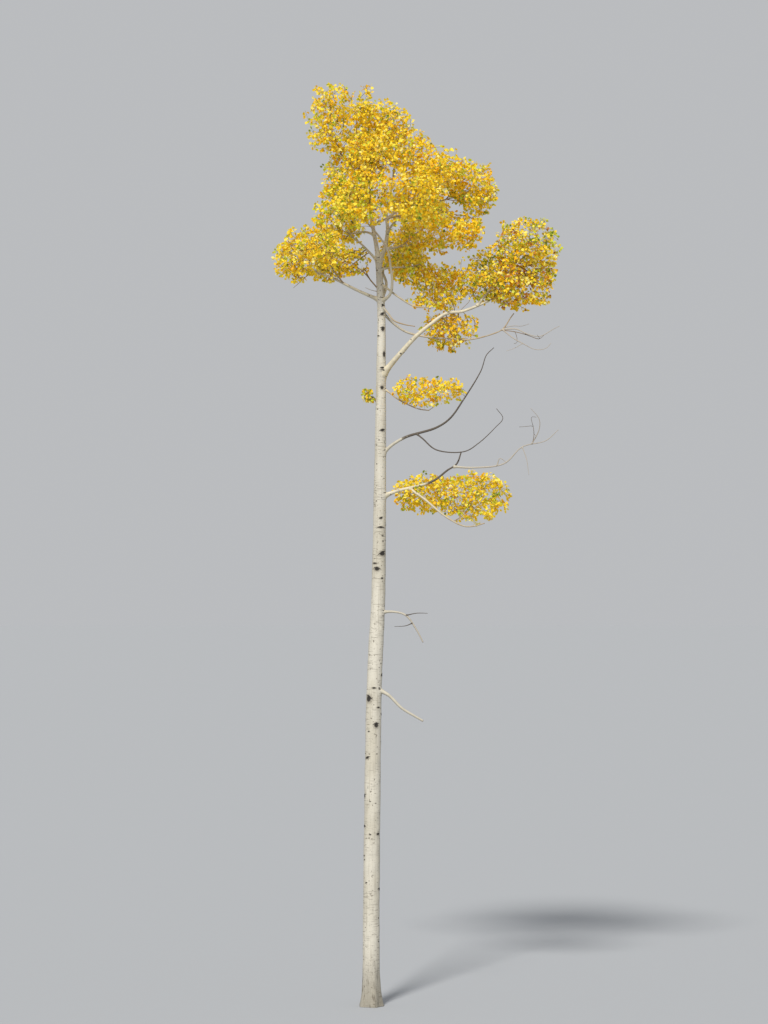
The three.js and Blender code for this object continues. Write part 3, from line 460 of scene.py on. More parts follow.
# Short spurs that no solid stands for. Their rows are like those above.
SPURS = (
    ("spur_left", "limb_left", 0.018, 0.006,
     ((-1.04, -0.04, 12.86), (-1.2, -0.06, 12.7), (-1.36, -0.04, 12.56))),
    ("spur_trunk", "trunk", 0.014, 0.005,
     ((0.15, 0.03, 12.49), (0, 0, 12.53), (-0.1, -0.02, 12.57))),
    ("spur_leader", "trunk", 0.026, 0.012,
     ((0.0, 0.08, 13.9), (-0.06, 0.02, 14.02), (-0.22, -0.06, 14.28))),
    ("spur_right", "limb_right_up", 0.02, 0.008,
     ((0.45, 0.08, 13.28), (0.6, 0.03, 13.3), (0.73, 0, 13.33))),
    ("spur_grey", "bare_limb_grey", 0.02, 0.007,
     ((2.2, -0.18, 9.47), (2.25, -0.2, 9.58), (2.37, -0.2, 9.5))),
    ("spur_grey_up", "bare_limb_grey", 0.02, 0.007,
     ((2.81, -0.19, 9.85), (2.93, -0.26, 10.08), (2.93, -0.3, 10.26), (2.78, -0.34, 10.45))),
    ("spur_grey_down", "bare_limb_grey", 0.016, 0.006,
     ((2.64, -0.2, 9.77), (2.71, -0.26, 9.57), (2.75, -0.3, 9.29))),
    ("spur_long_up", "bare_limb_long", 0.024, 0.009,
     ((2.31, -0.06, 11.83), (2.54, -0.1, 11.84), (2.71, -0.14, 11.76), (2.94, -0.18, 11.71),
      (3.19, -0.2, 11.84), (3.29, -0.2, 11.89))),
    ("spur_long_down", "bare_limb_long", 0.022, 0.008,
     ((2.31, -0.06, 11.83), (2.47, -0.14, 11.69), (2.64, -0.18, 11.59), (2.87, -0.2, 11.48),
      (3.05, -0.22, 11.5), (3.14, -0.22, 11.59))),
    ("spur_long_back", "spur_long_down", 0.012, 0.005,
     ((2.64, -0.18, 11.59), (2.5, -0.22, 11.5), (2.36, -0.26, 11.45))),
    ("spur_long_top", "bare_limb_long", 0.014, 0.006,
     ((2.33, -0.06, 11.88), (2.5, -0.02, 11.9), (2.64, 0.02, 11.9), (2.77, 0.04, 11.94))),
    ("spur_dark", "bare_limb_dark", 0.014, 0.004,
     ((1.61, -0.09, 10.6), (1.66, -0.12, 10.72), (1.6, -0.2, 10.8))),
    ("spur_snag", "snag_upper", 0.02, 0.008,
     ((0.61, -0.12, 6.83), (0.8, -0.2, 6.88), (0.99, -0.24, 6.88))),
    ("spur_snag_down", "snag_upper", 0.018, 0.007,
     ((0.73, -0.14, 6.72), (0.6, -0.22, 6.66), (0.41, -0.26, 6.65))),
)
LIMB_AROUND, LIMB_STEP, LIMB_TAPER_POWER, COLLAR_SWELL, COLLAR_REACH = 16, 0.016, 0.8, 0.7, 0.9
# The swell of the trunk round a limb's root, as a share of its thickness, and the thinnest limb with a brow.
ROOT_SHARE, THINNEST_WITH_BROW, TRUNK_RIPPLE, TRUNK_RIPPLE_SEED = 0.62, 0.03, 0.035, 3


def grow_limb(row, limbs):
    """A limb's path and radii. Its route's first point is moved to the nearest place on its parent.

    The radius falls from root to tip by the share of the way to a power. A collar is added that falls off
    exponentially from where the limb leaves its parent's surface.
    """
    name, parent, root, tip, route = row
    stem = limbs[parent]
    nearest = lengths(stem["path"] - route[0]).argmin()
    path = spline((tuple(stem["path"][nearest]), *route[1:]), LIMB_STEP)
    share = np.linspace(0, 1, len(path))
    radii = (root + (tip - root) * share**LIMB_TAPER_POWER) / 2
    out = share * lengths(np.diff(path, axis=0)).sum()
    inside = stem["radii"][nearest]
    radii = radii * (1 + COLLAR_SWELL * np.exp(-np.maximum(out - inside, 0) / (COLLAR_REACH * root)))
    return {"path": path, "radii": radii, "out": out, "inside": inside}


limbs = {"trunk": trunk}
for row in LIMBS + SPURS:
    name, parent, thick = row[:3]
    limb = limbs[name] = grow_limb(row, limbs)
    if parent == "trunk":
        leave = limb["path"][np.abs(limb["out"] - limb["inside"]).argmin()]
        aim = leave - limb["path"][0]
        turn = np.arctan2(-aim[1], aim[0])
        height = along[np.abs(axis[:, 2] - leave[2]).argmin(), 0]
        scars.append((height, turn, thick * ROOT_SHARE, 0, thick > THINNEST_WITH_BROW))

base = trunk_radius(along, angle)
scar, swell = bark_marks(along, angle, base, scars)
base = base + swell + ripple(along, angle, base, TRUNK_RIPPLE_SEED, TRUNK_RIPPLE)
grid = rings_along(axis, angle, base)
# The foot is flat and level with the ground.
grid[0, :, 2] = 0
grid[..., 2] = np.maximum(grid[..., 2], 0)
white_bark = trunk_bark()
for name, first, last in (("trunk_lower", 0, TRUNK_SPLIT), ("trunk_upper", TRUNK_SPLIT, len(grid) - 1)):
    places, faces = skin(grid[first : last + 1])
    shade = np.append(scar[first : last + 1].ravel(), [FAR_FROM_SCARS] * 2)
    piece = new_piece(name, places, faces, white_bark, scar=shade)
    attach(piece, "root")
    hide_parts("trunk")

LIMB_CREAM, LIMB_TAN = colour((203, 194, 169)), colour((158, 134, 98))
DEAD_GREY, DEAD_DARK = colour((164, 154, 141)), colour((74, 66, 60))


def limb_bark(name, pale, thin):
    """Smooth bark that turns from a pale to a thin limb's colour, darkens where it dies, and has scars."""
    bark = Finish(name)
    ragged = bark.noise((90, 90, 90))
    mottle = bark.spots((14, 14, 14), 0.38, 0.66)
    young = bark.step(bark.shade("radius") + mottle * 0.006, 0.026, 0.008)
    dead = bark.step(bark.shade("dead") + mottle * 0.3, 0.35, 0.85)
    scar = bark.step(bark.shade("scar") + ragged * 0.6, 1.6, 1.1)
    pores = bark.spots((150, 150, 150), 0.62, 0.7, 1.0)
    face = bark.tint(young, pale, bark.tint(bark.shade("brown"), thin, LIMB_TAN))
    face = bark.tint(mottle * 0.35, face, CHALK_STREAK)
    face = bark.tint(dead * 0.92, face, DEAD_DARK)
    face = bark.tint(pores * 0.35, face, LINE_BROWN)
    face = bark.tint(scar * 0.85, face, SCAR_DARK)
    relief = ragged * 0.5 - pores * 0.3 - scar * 0.6
    return bark.surface(face, 0.64 + dead * 0.2, relief, 0.45, 0.003)


FIRST_LIMB_SCAR, LIMB_SCAR_STEP, LIMB_SCAR_SHIFT = 0.1, 0.17, 0.05
LIMB_SCAR_WIDTHS, LIMB_SCAR_HEIGHTS, LIMB_SCAR_SEED = (0.3, 0.6), (0.2, 0.4), 100
LIMB_RIPPLE, LIMB_RIPPLE_SEED, NEVER_DARKENS = 0.07, 200, (1e3, 1e4)


def limb_skins(names):
    """The skins of several limbs as one mesh, and four values for each corner, which the bark reads.

    A limb's section is a circle of its radius, made uneven by waves and by scars spread along it by chance.
    """
    places, faces, shades, count = [], [], [], 0
    for number, name in enumerate(names):
        limb = limbs[name]
        along, radii = limb["out"][:, None], limb["radii"][:, None]
        angle = np.linspace(0, 2 * np.pi, LIMB_AROUND, endpoint=False)[None, :] + 0 * along
        chance = np.random.default_rng(LIMB_SCAR_SEED + number)
        spots = np.arange(limb["inside"] + FIRST_LIMB_SCAR, along[-1, 0], LIMB_SCAR_STEP)
        middle = np.interp(spots, along[:, 0], radii[:, 0])
        marks = [(s + chance.normal(0, LIMB_SCAR_SHIFT), chance.uniform(0, 2 * np.pi),
                  r * chance.uniform(*LIMB_SCAR_WIDTHS), r * chance.uniform(*LIMB_SCAR_HEIGHTS), False)
                 for s, r in zip(spots, middle)]
        scar, swell = bark_marks(along, angle, radii + 0 * angle, marks)
        thick = radii + swell + ripple(along, angle, radii, LIMB_RIPPLE_SEED + number, LIMB_RIPPLE)
        corners, triangles = skin(rings_along(limb["path"], angle, thick))
        start, end = DARKENS.get(name, NEVER_DARKENS)
        dead = smooth(along + 0 * angle, start, end)
        brown = np.full_like(dead, name in BROWN)
        rows = np.stack([scar.ravel(), (radii + 0 * angle).ravel(), dead.ravel(), brown.ravel()], 1)
        shades.append(np.vstack([rows, rows[0], rows[-1]]))
        places.append(corners)
        faces.append(triangles + count)
        count += len(corners)
    return np.vstack(places), np.vstack(faces), np.vstack(shades)


lifeless = list(DEAD)
for row in SPURS:
    if row[1] in lifeless:
        lifeless.append(row[0])
live = [row[0] for row in LIMBS + SPURS if row[0] not in lifeless]
solids = {row[0] for row in LIMBS}
for name, group, slot, pale, thin in (("boughs", live, "limb_bark", LIMB_CREAM, LIMB_TAN),
                                      ("dead_limbs", lifeless, "dead_bark", CHALK_DULL, DEAD_GREY)):
    places, faces, shades = limb_skins(group)
    bark = limb_bark(name + "_bark", pale, thin)
    shades = dict(zip(("scar", "radius", "dead", "brown"), shades.T))
    piece = new_piece(name, places, faces, bark, **shades)
    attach(piece, "root")
    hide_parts(*[limb for limb in group if limb in solids])

# The twigs are thin, brown, woody shoots. Each mass of them grows out of the end or side of a limb by one
# stem, which branches by one rule, and keeps to its own space: an ellipsoid, as far as it is nearer to that
# mass than to its neighbours.

# A row has a name, the limb, how far along it the stem leaves, the middle and half sizes of its space,
# how full it is, and the mixture of its leaf colours. No mixture means bare twigs.
TIP = 99.0  # Further along than any limb is long, so the stem leaves by the limb's end.
MASSES = (
    ("leaves_top_left", "limb_upper_left", TIP, (-0.68, -0.12, 15.5), (0.6, 0.62, 0.76), 1.05, "golden"),
    ("leaves_top_leader", "trunk", TIP, (-0.12, 0.17, 15.74), (0.3, 0.42, 0.56), 0.9, "golden"),
    ("leaves_top_right", "leader_right", TIP, (0.34, 0.12, 15.45), (0.47, 0.59, 0.56), 1, "golden"),
    ("leaves_top_right_low", "leader_right", 1.5, (0.7, -0.08, 14.96), (0.52, 0.6, 0.48), 1.05, "golden"),
    ("leaves_top_back", "trunk", 14.3, (-0.04, 0.74, 15.06), (0.56, 0.6, 0.58), 1, "golden"),
    ("leaves_top_front", "trunk", 13.95, (0.04, -0.7, 14.82), (0.54, 0.56, 0.56), 1.1, "golden"),
    ("leaves_upper_right", "limb_upper_right", TIP, (1.21, -0.14, 14.62), (0.6, 0.66, 0.5), 1.15, "golden"),
    ("leaves_far_right", "limb_leader_side", TIP, (1.8, 0.03, 14.32), (0.48, 0.62, 0.65), 1.25, "golden"),
    ("leaves_front_right", "limb_front_right", TIP, (0.72, -1.06, 14.08), (0.74, 0.68, 0.62), 1, "golden"),
    ("leaves_back_right", "limb_back_right", TIP, (0.86, 1.14, 14.13), (0.7, 0.76, 0.6), 1.1, "golden"),
    ("leaves_mid_left", "limb_left_small", TIP, (-0.45, -0.08, 14.37), (0.52, 0.6, 0.8), 1.1, "fresh"),
    ("leaves_back_left", "limb_back_left", TIP, (-0.56, 1, 13.9), (0.56, 0.66, 0.7), 1, "fresh"),
    ("leaves_front_left", "limb_front_left", TIP, (-0.18, -1.01, 14.04), (0.66, 0.6, 0.6), 1.1, "fresh"),
    ("leaves_centre_right", "limb_right_up", TIP, (1.04, 0.12, 13.64), (0.64, 0.64, 0.56), 1.1, "golden"),
    ("leaves_right_hanging", "limb_leader_side", 0.8, (1.68, -0.1, 13.58), (0.42, 0.52, 0.42), 1.2, "golden"),
    ("leaves_low_by_trunk", "limb_right_level", 0.38, (0.68, 0.24, 13.02), (0.43, 0.48, 0.47), 1, "fresh"),
    ("leaves_back_low", "limb_back_low", TIP, (0.56, 1.2, 13.29), (0.56, 0.64, 0.56), 1.25, "golden"),
    ("leaves_above_bough", "limb_right_low", TIP, (1.12, 0.06, 12.57), (0.62, 0.56, 0.5), 1.15, "golden"),
    ("leaves_below_bough", "bough_main_right", 1.48, (1.38, 0.24, 11.83), (0.64, 0.5, 0.43), 1, "amber"),
    ("leaves_lobe_inner", "bough_main_right", 1.85, (1.93, 0.14, 12.79), (0.62, 0.6, 0.54), 1.15, "fresh"),
    ("leaves_lobe_upper", "bough_lobe", TIP, (2.74, -0.06, 13.31), (0.7, 0.68, 0.58), 1.1, "turning"),
    ("leaves_lobe_low", "bough_main_right", TIP, (2.62, 0.04, 12.72), (0.76, 0.7, 0.6), 1.3, "fading"),
    ("leaves_left_outer", "limb_left", TIP, (-1.32, -0.08, 13.12), (0.48, 0.56, 0.58), 0.95, "golden"),
    ("leaves_left_inner", "limb_left", 0.95, (-0.8, 0.12, 13.12), (0.46, 0.56, 0.52), 1.1, "fresh"),
    ("leaves_left_front", "limb_left", 0.7, (-0.88, -0.72, 13.25), (0.48, 0.52, 0.5), 0.85, "golden"),
    ("leaves_left_of_trunk", "trunk", 12.48, (-0.34, 0.04, 13), (0.4, 0.38, 0.33), 1, "golden"),
    ("leaves_lower_spray", "limb_lower", 0.48, (1.01, -0.02, 10.77), (0.82, 0.52, 0.32), 1.05, "golden"),
    ("leaves_low_inner", "limb_low_leafy", 0.52, (0.9, 0.26, 8.99), (0.62, 0.54, 0.43), 1.1, "golden"),
    ("leaves_low_outer", "limb_low_leafy", 1, (1.8, 0.26, 8.93), (0.74, 0.6, 0.58), 1.15, "golden"),
    ("leaves_left_sprig", "trunk", 10.48, (-0.05, 0.03, 10.68), (0.15, 0.22, 0.19), 0.7, "fresh"),
    ("twigs_bare_long", "bare_limb_long", 2.3, (2.83, -0.14, 11.69), (0.5, 0.33, 0.26), 1, ""),
    ("twigs_bare_grey", "bare_limb_grey", 1.5, (2.8, -0.33, 10.18), (0.3, 0.28, 0.34), 1, ""),
)
TWIGS_PER_SQUARE_METRE, BARE_TWIGS = 1000, 12
SPACE_OVERLAP, CLEARANCE, SHORTEST_TWIG, SHARPEST_TURN = 0.12, 0.008, 0.02, 1.75
STEM_COLLAR, STEM_REACH, STEM_SWEEP, STEM_BEND, STEM_SHARES = 0.07, 0.4, 0.35, 0.4, (0.35, 0.7, 1)
SPREAD, SEED_STEP = np.array([0.8191725134, 0.6710436067, 0.5497004779]), 0.3819660113
TWIG_POWER, TWIG_BALANCE, LEAF_ROOM = 0.42, 0.35, 0.075
TWIG_RINGS, TWIG_AROUND, FINEST_TWIG, SIDE_TWIG_ROOT = 4, 4, 0.0011, 1.3
THINNEST, EDGE_THINNER, DEEP, STRAY_SPRAYS = -0.2, 0.5, 0.8, 0.15
GAP_WAVES, GAP_WAVE_NUMBERS, GAP_SEED = 7, (7, 19), 571
LIMB_NODE_STEP, LIMB_NODE_REACH, BARE_LIMB_SHARE = 5, 1.1, 0.25
TIP_STEM_SHARE, SIDE_STEM_SHARE, THICKEST_STEM, BARE_TWIG_ROOM = 0.95, 0.6, 0.02, 0.05
MOST_BRANCHES, NO_PLACE, OWN_LIMB, LIMB_SEARCH, PIECE_STEP = 2, 9, 0.12, 0.3, 6
TEST_SHARES, SIDE_TWIG_LEAN = np.array([[0.25], [0.5], [0.75], [1]]), 0.5

centres = np.array([row[3] for row in MASSES])
reaches = np.array([row[4] for row in MASSES])
# Straight pieces along all the limbs.
pieces = [(limb["path"][::PIECE_STEP], limb["radii"][::PIECE_STEP]) for limb in limbs.values()]
limb_starts = np.vstack([path[:-1] for path, _ in pieces])
limb_ends = np.vstack([path[1:] for path, _ in pieces])
limb_radii = np.concatenate([radii[:-1] for _, radii in pieces])


def in_space(mass, points):
    """True where a point lies in a mass's space.

    How far out it lies is the length of its distance from the middle, divided by the half sizes. That is
    1 at most, and at most a little more than how far out it lies in any other mass.
    """
    out = lengths((points[:, None] - centres) / reaches)
    own = out[:, mass].copy()
    out[:, mass] = NO_PLACE
    return (own <= 1) & (out.min(axis=1) > own - SPACE_OVERLAP)


def is_full(points):
    """True where the foliage is full: the mean of some waves, each in its own direction, is high there.

    A point's depth is the sum, over the masses that hold it, of one less the square of how far out it lies.
    The mean has to be higher where the depth is small, so sprays with gaps between them edge the crown. A
    little chance is added, so that the gaps have stray sprays in them.
    """
    chance = np.random.default_rng(GAP_SEED)
    waves = unit(chance.normal(size=(GAP_WAVES, 3))) * chance.uniform(*GAP_WAVE_NUMBERS, (GAP_WAVES, 1))
    out = lengths((points[:, None] - centres) / reaches)
    depth = np.maximum(1 - out**2, 0).sum(axis=1)
    least = THINNEST + EDGE_THINNER * (1 - smooth(depth, 0, DEEP))
    mean = np.sin(points @ waves.T + chance.uniform(0, 2 * np.pi, GAP_WAVES)).mean(1)
    return mean + chance.normal(0, STRAY_SPRAYS, len(points)) > least


def limb_gap(points, near):
    """The distance from each point to the nearest of some straight pieces of limb, less its radius."""
    start, end, radius = limb_starts[near], limb_ends[near], limb_radii[near]
    run = end - start
    share = np.einsum("pak,ak->pa", points[:, None] - start, run) / np.maximum((run**2).sum(1), TINY)
    closest = start + np.clip(share, 0, 1)[..., None] * run
    return (lengths(points[:, None] - closest) - radius).min(axis=1)


def stem_of(row):
    """The five points of a mass's stem, and its radius at the root.

    It starts at the limb's tip or axis, runs straight for a collar, and then follows a curve of the second
    degree that turns at a share of the way, to a place past the middle of its space.
    """
    _, parent, at, centre, radii = row[:5]
    limb = limbs[parent]
    k = np.abs(limb["out"] - at).argmin()
    start, ahead = limb["path"][k], frames_along(limb["path"])[0][k]
    tip = at == TIP
    direction = ahead if tip else unit(unit(centre - start) + STEM_SWEEP * ahead)
    collar = start + direction * (STEM_COLLAR + (0 if tip else limb["radii"][k]))
    gap = np.linalg.norm(centre - collar)
    bend = collar + direction * gap * STEM_BEND
    end = centre + unit(centre - collar) * STEM_REACH * min(radii)
    u = np.array(STEM_SHARES)[:, None]
    bow = (1 - u) ** 2 * collar + 2 * u * (1 - u) * bend + u**2 * end
    thick = limb["radii"][k] * (TIP_STEM_SHARE if tip else SIDE_STEM_SHARE)
    return np.vstack([start, collar, bow]), min(thick, THICKEST_STEM)


def limb_nodes(mass):
    """Places along the limbs that pass through a mass, where more of its twigs grow, and their directions."""
    places, aims = [], []
    for name, limb in limbs.items():
        if name == "trunk" or name in DEAD:
            continue
        path = limb["path"]
        inside = lengths((path - centres[mass]) / reaches[mass]) < LIMB_NODE_REACH
        chosen = np.flatnonzero(inside)[::LIMB_NODE_STEP]
        chosen = chosen[limb["out"][chosen] > BARE_LIMB_SHARE * limb["out"][-1]]
        places.append(path[chosen])
        aims.append(frames_along(path)[0][chosen])
    return np.vstack(places), np.vstack(aims)


def targets_of(mass, root):
    """Places that a mass's twigs grow to, in order from its stem's root.

    They fill the space evenly: each of three numbers grows by its own fixed step from one place to the
    next, and keeps what is left over whole turns. The first is the turn round the middle, the second the
    height, and the third, by its cube root, how far out the place lies.
    """
    fullness, leafy = MASSES[mass][5], bool(MASSES[mass][6])
    centre, radii = centres[mass], reaches[mass]
    mean = np.cbrt(radii.prod())
    wanted = round(TWIGS_PER_SQUARE_METRE * fullness * mean**2) if leafy else BARE_TWIGS
    shrink = 1 - (LEAF_ROOM / mean if leafy else BARE_TWIG_ROOM)
    numbers = np.arange(1, wanted + 1)[:, None]
    seed = (0.5 + mass * SEED_STEP) % 1
    around, up, out = (((seed * np.arange(1, 4)) + numbers * SPREAD) % 1).T
    level = np.sqrt(1 - (2 * up - 1) ** 2)
    ball = np.stack([level * np.cos(2 * np.pi * around), level * np.sin(2 * np.pi * around), 2 * up - 1], 1)
    targets = centre + radii * ball * (np.cbrt(out) * shrink)[:, None]
    targets = targets[in_space(mass, targets) & is_full(targets)]
    return targets[lengths(targets - root).argsort()]


def twig_widths(parents, thick):
    """The radius at each point, and the point that each runs on to, which is the one with the most ends.

    The radius is the stem's, times the share of all the ends that lie beyond the point, to a power.
    """
    ends, heirs = np.zeros(len(parents)), np.full(len(parents), -1)
    for n in range(len(parents) - 1, -1, -1):
        ends[n] = max(1, ends[n])
        if parents[n] >= 0:
            ends[parents[n]] += ends[n]
    for n in np.flatnonzero(parents >= 0):
        heir = heirs[parents[n]]
        if heir < 0 or ends[heir] < ends[n]:
            heirs[parents[n]] = n
    return np.maximum(thick * (ends / ends[parents < 0].sum()) ** TWIG_POWER, FINEST_TWIG), heirs


def grow_mass(mass):
    """The points of a mass's twigs, each with the point that it grows from, and their radii.

    Each target joins where its own length, plus a share of the way back to the root, is shortest, unless it
    turns too sharply, leaves the space or comes near a limb.
    """
    stem, thick = stem_of(MASSES[mass])
    targets = targets_of(mass, stem[0])
    near = lengths(limb_starts - centres[mass]) < reaches[mass].max() + LIMB_SEARCH
    near[lengths(limb_starts - stem[0]) < OWN_LIMB] = False
    places, aims = limb_nodes(mass) if MASSES[mass][6] else (np.zeros((0, 3)), np.zeros((0, 3)))
    count, started = len(stem), len(stem) + len(places)
    room = started + len(targets)
    points, parents = np.zeros((room, 3)), np.full(room, -1)
    back, children, ahead = np.zeros(room), np.full(room, MOST_BRANCHES), np.zeros((room, 3))
    points[:count], parents[1:count] = stem, np.arange(count - 1)
    back[1:count] = lengths(np.diff(stem, axis=0)).cumsum()
    ahead[1:count] = unit(np.diff(stem, axis=0))
    children[2:count], children[count - 1] = 1, 0
    points[count:started], ahead[count:started], children[count:started] = places, aims, 0
    back[count:started] = back[1]
    count = started
    for target in targets:
        run = target - points[:count]
        length = lengths(run)
        turn = (run * ahead[:count]).sum(1) / np.maximum(length, TINY)
        cost = length + TWIG_BALANCE * back[:count]
        full = children[:count] >= MOST_BRANCHES
        cost[full | (length < SHORTEST_TWIG) | (turn < np.cos(SHARPEST_TURN))] = NO_PLACE
        best = cost.argmin()
        if cost[best] == NO_PLACE:
            continue
        on_limb = len(stem) <= best < started
        samples = points[best] + run[best] * TEST_SHARES
        if not in_space(mass, samples[1:2])[0]:
            continue
        if near.any() and limb_gap(samples[2 * on_limb :], near).min() < CLEARANCE:
            continue
        points[count], parents[count] = target, best
        back[count], children[count], ahead[count] = back[best] + length[best], 0, unit(run[best])
        children[best] += 1
        count += 1
    points, parents, ahead = points[:count], parents[:count], ahead[:count]
    widths, heirs = twig_widths(parents, thick)
    onward = np.where(heirs[:, None] >= 0, points[heirs] - points[np.maximum(parents, 0)], ahead)
    aside = (np.arange(count) >= len(stem)) & (np.arange(count) < started)
    heirs[aside] = -1
    onward[aside] = ahead[aside]
    return {"points": points, "parents": parents, "heirs": heirs, "ahead": unit(onward), "widths": widths}


def twig_curves(tree, shares):
    """Places along each twig at some shares of the way: a cubic with a slope at each end.

    A twig that runs on from its parent leaves along the parent's direction, and another turns out first.
    """
    ends = np.flatnonzero(tree["parents"] >= 0)
    roots = tree["parents"][ends]
    start, end = tree["points"][roots], tree["points"][ends]
    straight = unit(end - start)
    runs_on = (tree["heirs"][roots] == ends)[:, None]
    leave = unit(np.where(runs_on, tree["ahead"][roots], SIDE_TWIG_LEAN * tree["ahead"][roots] + straight))
    length = lengths(end - start)[:, None]
    u = np.asarray(shares)[:, None, None]
    curve = cubic(u, start, leave, end, tree["ahead"][ends], length)
    thick, thin = tree["widths"][roots], tree["widths"][ends]
    thick = np.where(runs_on[:, 0], thick, np.minimum(thick, SIDE_TWIG_ROOT * thin))
    widths = thick + np.asarray(shares)[:, None] * (thin - thick)
    return curve.transpose(1, 0, 2), widths.T


def twig_skins(trees):
    """Closed tubes round all the twigs of some masses, by rings of a few corners square to each twig."""
    shares = np.linspace(0, 1, TWIG_RINGS)
    curves, widths = (np.concatenate(parts) for parts in zip(*(twig_curves(tree, shares) for tree in trees)))
    ahead = unit(np.gradient(curves, axis=1))
    fixed = np.where(np.abs(ahead[:, :1, 2:]) < ALONG_AXIS, (0.0, 0, 1), (1.0, 0, 0))
    side = unit(np.cross(fixed, ahead))
    front = np.cross(side, ahead)
    turn = np.linspace(0, 2 * np.pi, TWIG_AROUND, endpoint=False)
    ring = np.cos(turn)[:, None] * side[:, :, None] + np.sin(turn)[:, None] * front[:, :, None]
    grids = curves[:, :, None] + widths[:, :, None, None] * ring
    _, pattern = skin(grids[0])
    middles = np.stack([grids[:, 0].mean(1), grids[:, -1].mean(1)], 1)
    corners = np.concatenate([grids.reshape(len(grids), -1, 3), middles], 1)
    step = corners.shape[1]
    faces = (np.arange(len(grids))[:, None, None] * step + pattern).reshape(-1, 3)
    return corners.reshape(-1, 3), faces, np.repeat(widths.mean(1), step)


trees = [grow_mass(mass) for mass in range(len(MASSES))]
TWIG_BROWN, TWIG_TAN = colour((104, 82, 60)), colour((150, 122, 86))


def twig_bark(name, thin, thick):
    """Dull bark that is darker on a thin twig, with a fine mottle."""
    bark = Finish(name)
    mottle = bark.noise((70, 70, 70))
    face = bark.tint(bark.step(bark.shade("radius") + mottle * 0.003, 0.002, 0.01), thin, thick)
    face = bark.tint(bark.step(mottle, 0.45, 0.7) * 0.4, face, LINE_BROWN)
    return bark.surface(face, 0.7, mottle, 0.3, 0.001)


leafy = [k for k, row in enumerate(MASSES) if row[6]]
bare = [k for k, row in enumerate(MASSES) if not row[6]]
for name, group, slot, thin, thick in (("leafy_twigs", leafy, "limb_bark", TWIG_BROWN, LIMB_TAN),
                                       ("bare_twigs", bare, "bare_twigs", DEAD_DARK, TWIG_TAN)):
    places, faces, radius = twig_skins([trees[k] for k in group])
    piece = new_piece(name, places, faces, twig_bark(name + "_bark", thin, thick), radius=radius)
    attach(piece, "root")
    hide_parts(*[MASSES[k][0] for k in group])

# The leaves are round, pointed and thin, on long flat stalks, and have turned gold, lemon and lime. A few
# hang on each twig in a spray of one tint. Light comes through them.
LEAF_TINTS = {
    "gold": (253, 218, 46), "amber": (250, 196, 36), "lemon": (254, 233, 80), "straw": (248, 236, 136),
    "lime": (206, 212, 64), "green": (142, 160, 50), "rust": (186, 124, 56),
}
# The share of each tint, in the same order, in each mixture.
LEAF_MIXTURES = {
    "golden": (42, 11, 24, 9, 12, 2, 0),
    "fresh": (34, 7, 26, 7, 21, 5, 0),
    "amber": (45, 18, 18, 7, 9, 2, 1),
    "turning": (32, 10, 21, 9, 19, 5, 4),
    "fading": (33, 16, 16, 8, 12, 4, 11),
}
LEAVES_ON_TWIG, LEAF_LENGTH, STALK_LENGTH, STALK_WIDTH = 6, (0.041, 0.057), (0.026, 0.05), 0.0022
FIRST_LEAF, STEM_WITHOUT_LEAVES, LEAF_CLEARANCE, LEAF_SEARCH = 0.3, 2, 0.012, 0.2
# How much a stalk goes on along its twig, outward from the middle of the mass, by chance, and down.
STALK_ON, STALK_OUT, STALK_STRAY, STALK_DROOP = 0.35, 0.45, 0.9, (0, 0, -0.12)
# How much a blade goes on along its stalk, by chance, and down, and how far it turns its face outward.
BLADE_ON, BLADE_STRAY, BLADE_DROOP, BLADE_FACES_OUT = 0.8, 0.45, (0, 0, -0.42), 0.5
STRAY_TINTS, LEAF_SEED = 0.3, 500
# Half of a leaf's outline from base to point, as shares of its length, across and along.
LEAF_EDGE = ((0.3, 0.07), (0.47, 0.26), (0.485, 0.48), (0.34, 0.73), (0.12, 0.92))
LEAF_MIDDLE, LEAF_FOLD, LEAF_CURL, LEAF_POINT = 0.42, 0.16, 0.1, 2 + len(LEAF_EDGE)


def leaf_pattern():
    """One leaf of length 1: its corners as across, along and out, and its triangles.

    The blade is a fan from a point on its midrib to its edge. It is folded, so a corner stands out by a
    share of how far across it lies, and curls back by a share of the square of how far along. The stalk is
    two triangles between four corners that follow the blade's: a pair at the twig and a pair at the blade.
    """
    edge = np.array(LEAF_EDGE)
    ring = np.vstack([(0, 0), edge, (0, 1), (edge * (-1, 1))[::-1]])
    flat = np.vstack([(0, LEAF_MIDDLE), ring])
    bent = np.abs(flat[:, 0]) * LEAF_FOLD - flat[:, 1] ** 2 * LEAF_CURL
    corners = np.column_stack([flat, bent])
    count = len(ring)
    fan = [(0, 1 + k, 1 + (k + 1) % count) for k in range(count)]
    first = count + 1
    stalk = [(first, first + 1, first + 3), (first, first + 3, first + 2)]
    return corners, np.array(fan + stalk)


